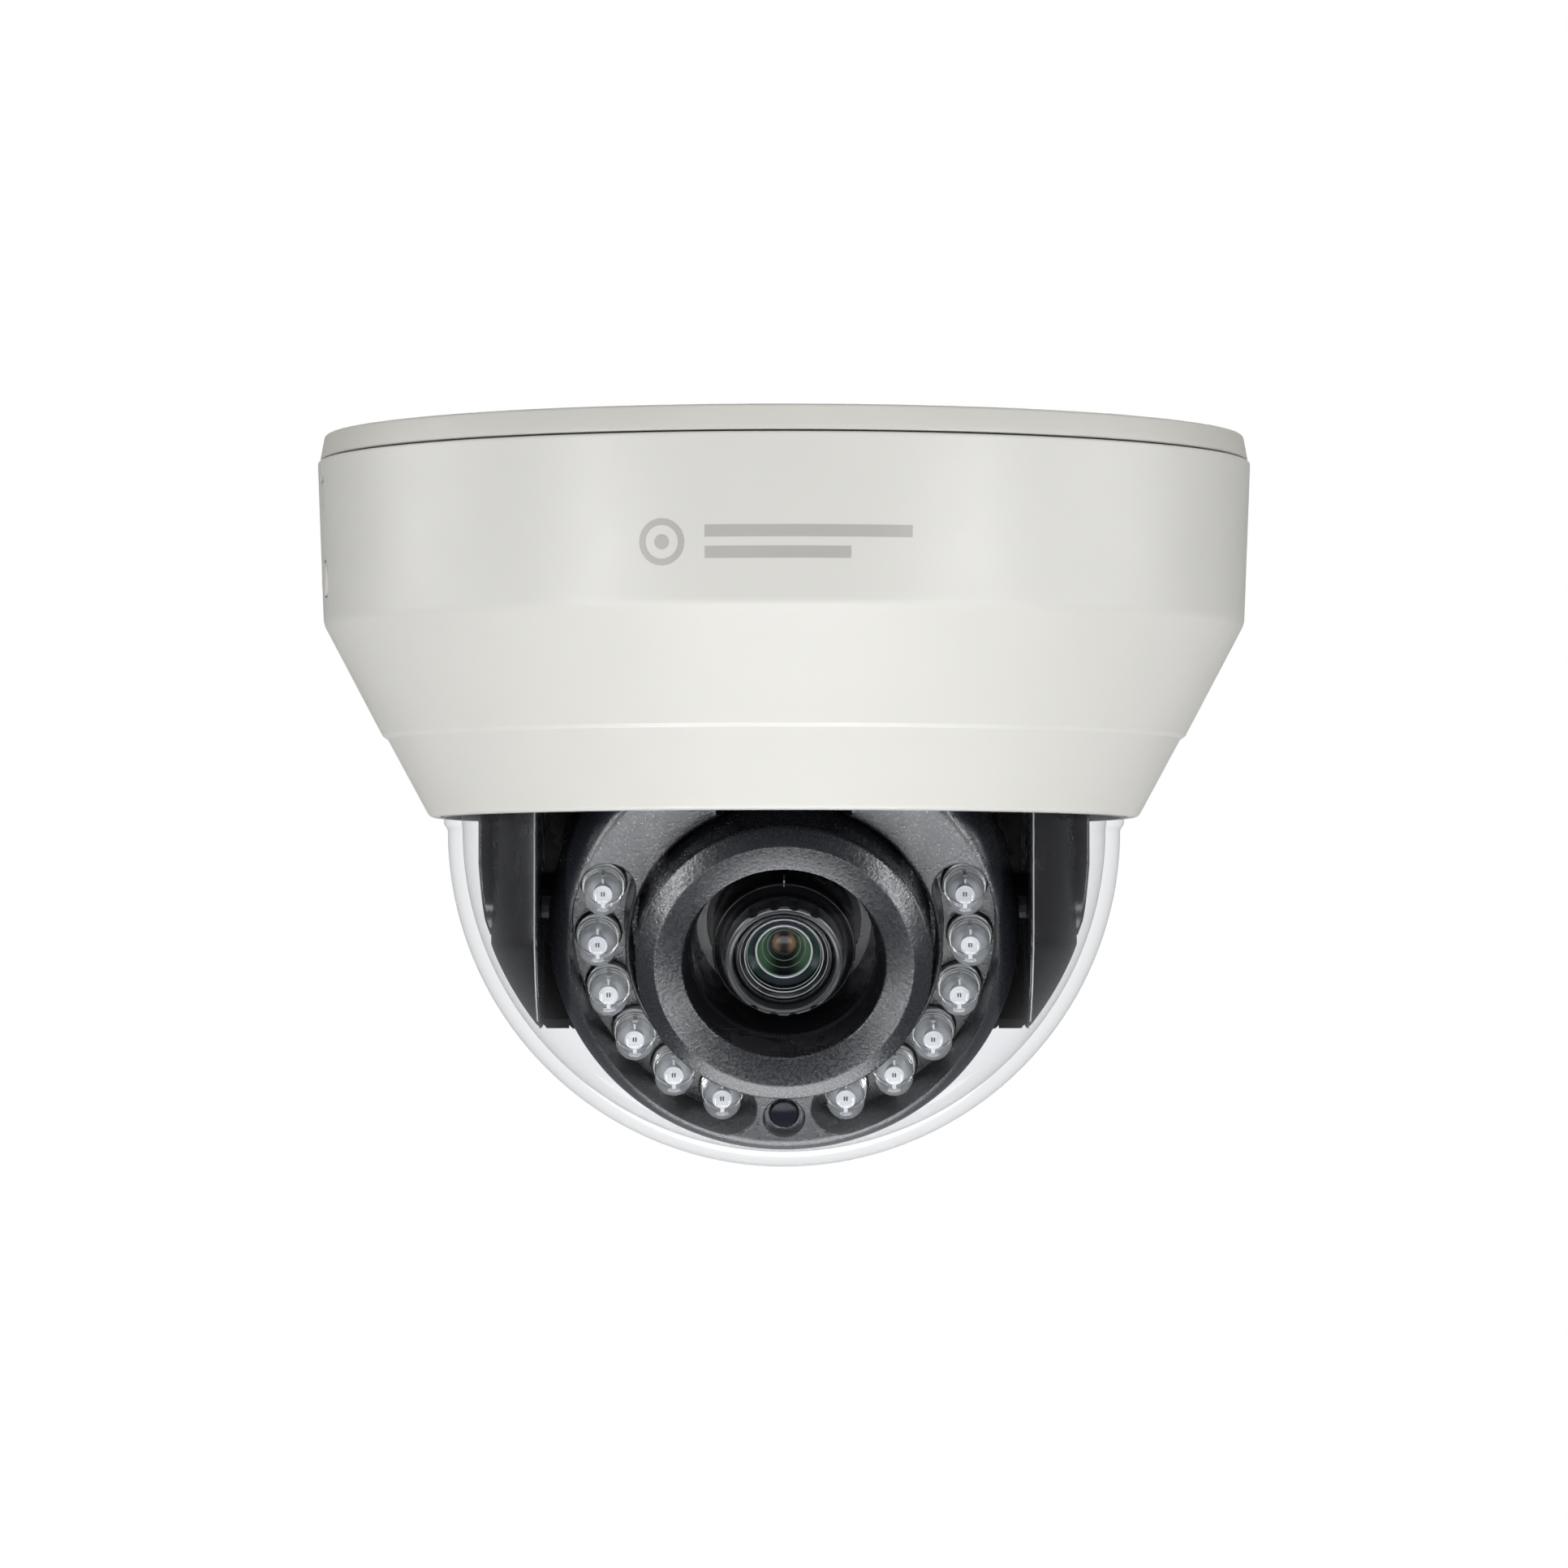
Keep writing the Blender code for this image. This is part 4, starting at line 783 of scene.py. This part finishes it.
def make_arms(m):
    for label, side in (("right", 1.0), ("left", -1.0)):
        turn = HERE if side > 0 else Matrix.Scale(-1.0, 4, (1, 0, 0))
        edge = 0.7 * MM
        levels = [(ARM_BOTTOM + up * MM, share * edge) for up, share in ARM_FOOT_EDGE]
        levels += [(z, 0.0) for z in heights(ARM_BOTTOM + edge, ARM_TOP, 44)]
        rings = [[(x, y, z) for x, y in arm_section(z, inset)] for z, inset in levels]
        parts = [loft("arm", rings, turn, 50.0)]
        parts.append(make_ear(turn))
        web_high = (ARM_X + MM, WEB_Y + 1.6 * MM, ARM_TOP - 0.5 * MM)
        web = block("web", (WEB_X, WEB_Y, ARM_BOTTOM), web_high, 0.2 * MM, turn)
        parts.append(combine(web, web_limit(turn), "INTERSECT"))
        wall_x = (LOW_WALL_X, ARM_X + MM)
        wall = loft("low_wall", [[(x, y * MM, z * MM) for y, z in LOW_WALL] for x in wall_x], turn)
        parts.append(combine(wall, web_limit(turn, EAR_BALL_R), "INTERSECT"))
        ledge = (WEB_X + 0.4 * MM, 14.8 * MM, ARM_BOTTOM), (ARM_X + MM, WEB_Y + 1.0 * MM, -74.8 * MM)
        ledge = block("ledge", *ledge, 0.2 * MM, turn)
        parts.append(combine(ledge, web_limit(turn), "INTERSECT"))
        foot = (21.5 * MM, -8.0 * MM, -27.5 * MM), (ARM_X + MM, 8.0 * MM, ARM_TOP)
        parts.append(block("foot", *foot, 0.4 * MM, turn))
        # a painted highlight: a thin pale tube along the arm's inner front edge
        dress(arm_painted_highlight(f"yoke_arm_{label}_edge", turn), "pan", "black_plastic", m["bead"])
        arm = merge(f"yoke_arm_{label}_body", parts)
        dress(arm, "pan", "black_plastic", m["black"], f"yoke_arm_{label}")


def arm_painted_highlight(name, turn):
    """A painted highlight: a thin pale tube for the bright line down the inner front edge of an arm."""
    rings = []
    for z in heights(ARM_BOTTOM + MM, ARM_TOP, 44):
        half = math.sqrt(arm_radius(z, ARM_R, ARM_BALL_R) ** 2 - ARM_X**2)
        ring = [polar(0.10 * MM, 45.0 * i) for i in range(8)]
        rings.append([(ARM_X + 0.36 * MM + x, 0.36 * MM - half + y, z) for x, y in ring])
    return loft(name, rings, turn, 60.0)


def web_limit(turn, ball_r=ARM_BALL_R):
    """The round body that an arm's inner walls must stay inside."""
    outline = [(0.0, -20 * MM), (EAR_R, -20 * MM)]
    levels = heights(ARM_BOTTOM - MM, BUBBLE_CENTRE_Z, 16)[::-1]
    outline += [(arm_radius(z, EAR_R, ball_r), z) for z in levels]
    return lathe("web_limit", [*outline, (0.0, ARM_BOTTOM - MM)], turn, MEDIUM)


def make_ear(turn):
    """The raised rib on an arm's outside, round about the pivot at its lower end."""
    levels = []
    for z in heights(PIVOT.z - EAR_HALF_W + 0.02 * MM, PIVOT.z, 14) + heights(PIVOT.z, ARM_TOP, 16)[1:]:
        drop = max(0.0, PIVOT.z - z)
        levels.append((z, math.sqrt(EAR_HALF_W**2 - drop**2)))
    rings = []
    for z, half in levels:
        fade = max(0.0, min(1.0, (z - PIVOT.z + EAR_HALF_W) / EAR_FADE))
        thick = (arm_radius(z, EAR_R, EAR_BALL_R) - arm_radius(z, ARM_R, ARM_BALL_R)) * math.sqrt(fade)
        outer = arm_radius(z, ARM_R, ARM_BALL_R) + max(0.15 * MM, thick)
        inner = arm_radius(z, ARM_R, ARM_BALL_R) - 1.0 * MM
        fillet = min(0.5 * MM, 0.45 * half)
        ring = rounded([(inner, -half), (outer, -half, fillet), (outer, half, fillet), (inner, half)], 4)
        rings.append([(x, y, z) for x, y in ring])
    return loft("ear", rings, turn, 50.0)


# ---------------------------------------------------------------- eyeball
def around_lens(radius, from_down):
    """A spot on a circle about the lens axis. 0 is the face's bottom and 180 its top."""
    return polar(radius, 90.0 - from_down)


def channel_outline(side, grow):
    """The recess that holds one side's LEDs: an arc with round ends, grown by a distance."""
    middle = (CHANNEL_IN_R + CHANNEL_OUT_R) / 2.0
    half = (CHANNEL_OUT_R - CHANNEL_IN_R) / 2.0 + grow
    start, end = CHANNEL_ENDS
    points = []
    for way, first, last in ((1.0, start, end), (-1.0, end, start)):
        for i in range(41):
            points.append(around_lens(middle + way * half, first + (last - first) * i / 40))
        cx, cy = around_lens(middle, last)
        for i in range(1, 12):
            dx, dy = polar(half, 90.0 - last - (0.0 if way > 0 else 180.0) - 15.0 * i)
            points.append((cx + dx, cy + dy))
    points = [(side * x, y) for x, y in points]
    return points if side > 0 else points[::-1]


def bezel_bevel():
    """The rounded outer edge of the face, from the widest rim to the flat."""
    across, down = RIM_R - FACE_R + 0.6 * MM, FACE_DEPTH - RIM_DEPTH
    turns = [math.radians(90.0 * i / 14) for i in range(15)]
    return [
        (FACE_R - 0.6 * MM + across * math.cos(t), -RIM_DEPTH - down * math.sin(t)) for t in turns
    ]


def make_bezel(m):
    back = [(RIM_R - 0.9 * MM, -BEZEL_BACK), (RIM_R - 0.3 * MM, -BEZEL_BACK, 0.3 * MM), (RIM_R, -RIM_DEPTH)]
    bore = [(22.0 * MM, -FACE_DEPTH), (BEZEL_BORE_R, -FACE_DEPTH, 0.5 * MM), (BEZEL_BORE_R, -14.0 * MM)]
    outline = [
        *rounded(back)[:-1],
        *bezel_bevel(),
        *rounded(bore)[1:],
        (BEZEL_BORE_R, -8.5 * MM),
        (28.2 * MM, -8.5 * MM),
        (28.2 * MM, -BEZEL_BACK),
    ]
    bezel = lathe("bezel", outline, steps=256)
    for side in (1.0, -1.0):
        levels = [
            (-20.0 * MM, channel_outline(side, 0.35 * MM)),
            (-16.97 * MM, channel_outline(side, 0.30 * MM)),
            (-16.80 * MM, channel_outline(side, 0.10 * MM)),
            (-16.40 * MM, channel_outline(side, 0.0)),
            (-CHANNEL_DEPTH, channel_outline(side, -0.25 * MM)),
        ]
        combine(bezel, prism("channel", levels))
    combine(bezel, make_notch_cutter())
    sensor = mm([(0.0, -8.4), (2.0, -8.4), (2.0, -15.4), (2.55, -15.4)])
    sensor += mm([(2.55, -16.7), (2.95, -17.3), (0.0, -17.3)])
    spot = Matrix.Translation((*around_lens(LED_CIRCLE_R, 0.0), 0.0))
    combine(bezel, lathe("sensor_cut", sensor[::-1], spot, SMALL))
    for side in (1.0, -1.0):
        for angle in LED_ANGLES:
            spot = Matrix.Translation((*around_lens(LED_CIRCLE_R, side * angle), 0.0))
            cut = lathe("led_cut", rod_outline(3.1 * MM, -8.0 * MM, -10.5 * MM), spot, SMALL)
            combine(bezel, cut)
    bezel.data.transform(LENS)
    dress(bezel, "tilt", "black_plastic", m["bezel"], "front_bezel")


def make_notch_cutter():
    """The gap at the top of the face, wider at the surface than below."""
    def outline(half):
        return [(-half, -32.0 * MM), (half, -32.0 * MM), (half, -18.0 * MM), (-half, -18.0 * MM)]

    levels = [
        (-18.0 * MM, outline(NOTCH_HALF_W + 1.3 * MM)),
        (-17.0 * MM, outline(NOTCH_HALF_W + 0.8 * MM)),
        (-15.6 * MM, outline(NOTCH_HALF_W + 0.5 * MM)),
        (-15.2 * MM, outline(NOTCH_HALF_W)),
        (-11.0 * MM, outline(NOTCH_HALF_W - 0.2 * MM)),
    ]
    return prism("notch", levels)


def led_outline():
    """A short clear bullet that rises from a wide stepped base."""
    dome = arc(0.0, -LED_TIP + LED_R, LED_R, 0.0, -90.0, 14)
    base = [
        (2.6 * MM, -LED_BASE),
        (2.9 * MM, -LED_BASE, 0.1 * MM),
        *mm([(2.9, -10.5, 0.12), (2.75, -10.6, 0.05), (2.75, -11.3, 0.12)]),
        (LED_R, -11.45 * MM),
    ]
    return [(0.0, -LED_BASE), *rounded(base), *dome[:-1], (0.0, -LED_TIP)]


def make_leds(m):
    """Each LED is a clear bullet over a pale cup, a dark die and the post beside it."""
    outline = led_outline()
    number = 0
    for side in (-1.0, 1.0):
        for angle in LED_ANGLES:
            number += 1
            label = f"{number:02d}"
            turn = LENS @ Matrix.Translation((*around_lens(LED_CIRCLE_R, side * angle), 0.0))
            shell = lathe(f"led_bullet_{label}", outline, turn, BULLET_SIDES)
            dress(shell, "tilt", "led_epoxy", m["epoxy"], f"led_{label}")
            dress(led_frame(f"led_frame_{label}", turn), "tilt", "led_epoxy", m["led_grey"])
            dress(led_die(f"led_die_{label}", turn), "tilt", "led_epoxy", m["chip"])
            # painted highlights: the cup's rim and the leads' streaks in near-white
            dress(led_painted_highlights(f"led_painted_highlights_{label}", turn), "tilt", "led_epoxy", m["painted_white_highlight"])
            dress(led_steps(f"led_steps_{label}", turn), "tilt", "led_epoxy", m["silver"])


def led_painted_highlights(name, turn):
    """Painted highlights in near-white: the cup's bright rim and the streaks of light that its leads make in the
    bullet.
    """
    parts = [fine_ring("rim", 1.20, 14.15, 0.09, turn, LED_SIDES, 8)]
    for half_w, near, far, front in ((0.14, -1.25, -2.05, -13.7), (0.26, 1.25, 1.95, -13.9)):
        low = (-half_w * MM, min(near, far) * MM, front * MM)
        high = (half_w * MM, max(near, far) * MM, (front + 0.4) * MM)
        parts.append(block("streak", low, high, 0.05 * MM, turn))
    return merge(name, parts)


def led_steps(name, turn):
    """The mirror-like edges of the steps round the bullet's base."""
    parts = []
    for radius, depth, thick in LED_STEPS:
        parts.append(fine_ring("rim", radius, depth, thick, turn, LED_SIDES, 8))
    return merge(name, parts)


def led_die(name, turn):
    """The die's two dark bars on the pale floor of the cup."""
    parts = []
    for low, high in ((-0.26, -0.08), (0.06, 0.24)):
        low_corner = (low * MM, -0.28 * MM, -14.06 * MM)
        parts.append(block("die", low_corner, (high * MM, 0.28 * MM, -13.8 * MM), 0.0, turn))
    return merge(name, parts)


def led_frame(name, turn):
    """The anvil with its reflector cup, the post beside it and the seat under them."""
    cup = mm([(0.0, -13.95), (0.55, -13.95), (1.12, -14.12, 0.05), (1.15, -12.9), (0.0, -12.6)])
    parts = [lathe("cup", rounded(cup), turn, LED_SIDES)]
    for y, front in ((0.0, -12.8), (-1.75, -12.2)):
        low = (-0.28 * MM, (y - 0.2) * MM, front * MM)
        parts.append(block("lead", low, (0.28 * MM, (y + 0.2) * MM, -8.6 * MM), 0.05 * MM, turn))
    parts.append(lathe("seat", rod_outline(2.7 * MM, -8.7 * MM, -10.3 * MM), turn, LED_SIDES))
    return merge(name, parts)


def make_light_sensor(m):
    outline = rounded(mm([(0.0, -8.6), (1.75, -8.6), (1.75, -15.6, 0.25), (0.0, -15.7)]))
    turn = LENS @ Matrix.Translation((*around_lens(LED_CIRCLE_R, 0.0), 0.0))
    sensor = lathe("light_sensor_body", outline, turn, SMALL)
    dress(sensor, "tilt", "sensor_epoxy", m["sensor"], "light_sensor")


def make_rear_shell(m):
    corner = 9.0 * MM
    centre = (REAR_R - corner, REAR_BACK - corner)
    outline = [
        (6.0 * MM, REAR_BACK),
        *arc(*centre, corner, 90.0, 0.0, 20),
        (REAR_R, -5.3 * MM),
        (27.9 * MM, -5.3 * MM),
        (27.9 * MM, -6.3 * MM),
        (19.1 * MM, -6.3 * MM),
        (19.1 * MM, -4.7 * MM),
        (27.6 * MM, -4.7 * MM),
        *arc(*centre, corner - 1.8 * MM, 0.0, 90.0, 20),
        (6.0 * MM, REAR_BACK - 1.8 * MM),
    ]
    shell = lathe("eyeball_rear", outline, sharp=30.0)
    for angle in EYE_SCREW_ANGLES:
        spot = Matrix.Translation((*around_lens(EYE_SCREW_R, angle), 0.0))
        combine(shell, lathe("access", rod_outline(2.7 * MM, 20 * MM, 2 * MM), spot, SMALL))
        combine(shell, lathe("hole", rod_outline(1.5 * MM, 3 * MM, -8 * MM), spot, SMALL))
    pins = Matrix.Rotation(math.radians(90.0), 4, "Y")
    combine(shell, lathe("pin_holes", rod_outline(3.3 * MM, 40 * MM, -40 * MM), pins, SMALL))
    shell.data.transform(LENS)
    dress(shell, "tilt", "black_plastic", m["black"], "rear_shell")


# ---------------------------------------------------------------- lens unit
def in_lens(name, corners, body, slot, material, *nodes, steps=MEDIUM):
    """A turned piece of the lens, from (radius, depth, optional rounding) corners in mm."""
    outline = rounded(mm([(c[0], -c[1], *c[2:]) for c in corners]))
    return dress(lathe(name, outline, LENS, steps), body, slot, material, *nodes)


def make_hood(m):
    corners = [
        (9.9, 6.7), (20.0, 6.7), (20.0, 8.1), (18.8, 8.1), (18.8, 22.6, 0.7), (16.4, 23.9, 0.25),
        (12.9, 22.9, 0.35), (12.05, 18.6, 0.3), (11.7, 18.2, 0.2), (11.2, 8.6), (9.9, 8.6),
    ]
    hood = in_lens("hood_skin", corners, "lens_unit", "black_plastic", m["hood"], "lens_hood", steps=FINE)
    hood.data.materials.append(m["black"])
    for face in hood.data.polygons:
        depth = -(LENS.inverted() @ face.center).z
        radius = (LENS.inverted() @ face.center).xy.length
        if radius < 12.8 * MM and depth > 8.0 * MM:
            face.material_index = 1


def bead(name, radius, depth, thick, material):
    """A thin ring on the lens, with sizes in mm; in the pale greys it is a painted highlight along an edge."""
    ring = fine_ring(f"lens_{name}", radius, depth, thick, LENS, MEDIUM, 12)
    dress(ring, "lens_unit", "steel", material)


def make_lens(m):
    matt = m["lens_black"]
    in_lens("barrel_body", [
        (4.0, 1.0), (6.2, 1.0), (6.2, 7.0), (8.0, 7.0), (8.0, 9.2), (6.2, 9.2), (6.2, 20.9, 0.2),
        (5.75, 21.0, 0.1), (5.55, 20.3), (5.0, 19.9), (4.75, 19.4), (4.75, 17.2), (4.0, 17.2),
    ], "lens_unit", "black_plastic", matt, "lens_barrel")
    # pale rings on the barrel's steps and round the glass's edge: painted highlights
    bead("bead_1", 5.60, 20.40, 0.07, m["bead"])
    bead("bead_2", 4.98, 20.00, 0.08, m["bead"])
    bead("bead_3", 4.72, 19.55, 0.04, m["bead"])
    in_lens("glass_edge", [(3.42, 18.3), (3.68, 18.3), (3.66, 18.72, 0.05), (3.44, 18.72, 0.05)],
            "lens_unit", "coated_glass", m["bead"])
    # the glass pieces' colours are painted reflections of their coatings, graded from the middle to the sides
    in_lens("outer_glass", [(3.68, 17.4), (4.70, 17.4), (4.70, 18.5), (3.68, 18.2)],
            "lens_unit", "coated_glass", m["outer_glow"])
    in_lens("inner_cone", [(3.42, 15.2), (3.42, 18.3), (3.1, 17.6, 0.4), (1.7, 15.9, 0.4), (1.5, 15.2)],
            "lens_unit", "coated_glass", m["glow"], "front_glass")
    in_lens("inner_glass", [(0.0, 15.2), (1.5, 15.2), (1.5, 15.6, 0.2), (1.1, 15.9, 0.5), (0.0, 16.0)],
            "lens_unit", "coated_glass", m["inner_glow"], "rear_glass")
    bead("inner_bead_1", 1.55, 15.75, 0.06, m["ring"])
    # dim rings on the inner glass: faint painted highlights
    bead("inner_bead_2", 2.10, 16.50, 0.05, m["dim_bead"])
    bead("inner_bead_3", 2.75, 17.25, 0.05, m["dim_bead"])
    in_lens("zoom_collar", [
        (6.5, 9.5), (9.1, 9.5, 0.2), (9.1, 17.9, 0.25), (8.85, 18.0, 0.1), (8.7, 17.8), (8.0, 17.6),
        (6.5, 17.6),
    ], "zoom", "black_plastic", matt, "zoom_ring")
    low, high = (-0.10 * MM, -9.5 * MM, -17.95 * MM), (0.10 * MM, -8.6 * MM, -16.0 * MM)
    dress(block("zoom_mark", low, high, 0.04 * MM, LENS), "zoom", "black_plastic", m["dim_bead"])
    make_focus_ring(m)


def make_focus_ring(m):
    """The front ring, with groups of finger notches at its top and bottom."""
    corners = [
        (6.5, -18.3), (7.5, -18.3, 0.1), (7.5, -21.85, 0.12), (7.25, -22.0, 0.08), (7.0, -21.9, 0.08),
        (6.65, -22.0, 0.1), (6.4, -21.3),
    ]
    ring = lathe("focus_collar", rounded(mm(corners)), steps=MEDIUM)
    for bearing in FINGER_NOTCHES:
        spot = Matrix.Translation((*polar(7.8 * MM, bearing), 0.0))
        combine(ring, lathe("finger", rod_outline(0.75 * MM, -19.0 * MM, -24 * MM), spot, 16))
    ring.data.transform(LENS)
    dress(ring, "focus", "black_plastic", m["ring"], "focus_ring")


# ---------------------------------------------------------------- carried-over CAD nodes
# the material of each slot whose own name isn't the material's key
FINISHES = {
    "rim_plastic": "rim",
    "circuit_board": "board",
    "grey_plastic": "grey",
    "black_plastic": "black",
    "coated_glass": "glow",
    "white_plastic": "white",
    "sensor_epoxy": "sensor",
    "led_epoxy": "epoxy",
    "clear_polycarbonate": "bubble",
}
SPECIAL_FINISHES = {
    "led_board": "black_board",
    "tilt_pivot_left": "black_steel",
    "tilt_pivot_right": "black_steel",
}


def dress_cad_nodes(m):
    slots = {part["node"]: part["material_slot"] for part in frame["record"]["subparts"]}
    for name, obj in frame["nodes"].items():
        finish = SPECIAL_FINISHES.get(name, FINISHES.get(slots[name], slots[name]))
        obj.data.materials.clear()
        obj.data.materials.append(m[finish])


# ---------------------------------------------------------------- stage
def seen_or_lit(tree, lit):
    """White where the camera sees it, and the lit value in the light that it gives."""
    path = tree.nodes.new("ShaderNodeLightPath")
    mix = tree.nodes.new("ShaderNodeMix")
    mix.inputs["B"].default_value = 1.0
    tree.links.new(path.outputs["Is Camera Ray"], mix.inputs["Factor"])
    tree.links.new(lit, mix.inputs["A"])
    return mix.outputs["Result"]


def make_floor():
    floor = block("floor", (-6.0, -6.0, -2.02), (6.0, 6.0, -2.0), 0.0)
    material = bpy.data.materials.new("pale_floor")
    material.use_nodes = True
    tree = material.node_tree
    tree.nodes.clear()
    light = tree.nodes.new("ShaderNodeEmission")
    value = tree.nodes.new("ShaderNodeValue").outputs[0]
    value.default_value = FLOOR_GLOW
    tree.links.new(seen_or_lit(tree, value), light.inputs["Strength"])
    out = tree.nodes.new("ShaderNodeOutputMaterial")
    tree.links.new(light.outputs[0], out.inputs["Surface"])
    floor.data.materials.append(material)


def make_world():
    """A studio that is dim at the camera's height and paler above, seen as plain white."""
    world = bpy.data.worlds.new("studio")
    bpy.context.scene.world = world
    world.use_nodes = True
    tree = world.node_tree
    place = tree.nodes.new("ShaderNodeTexCoord").outputs["Generated"]
    split = tree.nodes.new("ShaderNodeSeparateXYZ")
    tree.links.new(place, split.inputs[0])
    ramp = tree.nodes.new("ShaderNodeValToRGB")
    for i, (height, level) in enumerate(SKY):
        stop = ramp.color_ramp.elements[i] if i < 2 else ramp.color_ramp.elements.new(0.5)
        stop.position = 0.5 + 0.5 * height
        stop.color = (level, level, level, 1.0)
    half = tree.nodes.new("ShaderNodeMath")
    half.operation = "MULTIPLY_ADD"
    half.inputs[1].default_value = half.inputs[2].default_value = 0.5
    tree.links.new(split.outputs["Z"], half.inputs[0])
    tree.links.new(half.outputs[0], ramp.inputs[0])
    background = tree.nodes["Background"]
    background.inputs["Color"].default_value = (1.0, 1.0, 1.0, 1.0)
    tree.links.new(seen_or_lit(tree, ramp.outputs[0]), background.inputs["Strength"])


def softbox(name, place, size, power):
    """A rectangular light that the camera doesn't see, turned to the middle of the object."""
    data = bpy.data.lights.new(name, "AREA")
    data.shape = "RECTANGLE"
    data.size, data.size_y = size
    data.energy = power
    light = bpy.data.objects.new(name, data)
    bpy.context.scene.collection.objects.link(light)
    light.location = place
    aim = Vector(LIGHTS_AIM) - Vector(place)
    light.rotation_euler = aim.to_track_quat("-Z", "Y").to_euler()
    light.visible_camera = False


def make_stage():
    bpy.context.scene.view_settings.view_transform = "Standard"
    make_floor()
    make_world()
    for values in SOFTBOXES:
        softbox(*values)


def make_camera():
    data = bpy.data.cameras.new("camera")
    data.sensor_width = 36.0
    data.lens = CAMERA_LENS
    data.clip_start, data.clip_end = 0.01, 50.0
    camera = bpy.data.objects.new("camera", data)
    bpy.context.scene.collection.objects.link(camera)
    camera.location = (0.0, -CAMERA_DISTANCE, CAMERA_HEIGHT)
    camera.rotation_euler = (math.radians(90.0 + CAMERA_TILT), 0.0, 0.0)
    bpy.context.scene.camera = camera


def build():
    m = make_materials()
    dress_cad_nodes(m)
    make_camera()
    make_stage()
    make_cover(m)
    make_base(m)
    make_grommet(m)
    make_bubble(m)
    make_arms(m)
    make_bezel(m)
    make_leds(m)
    make_light_sensor(m)
    make_rear_shell(m)
    make_hood(m)
    make_lens(m)


build()
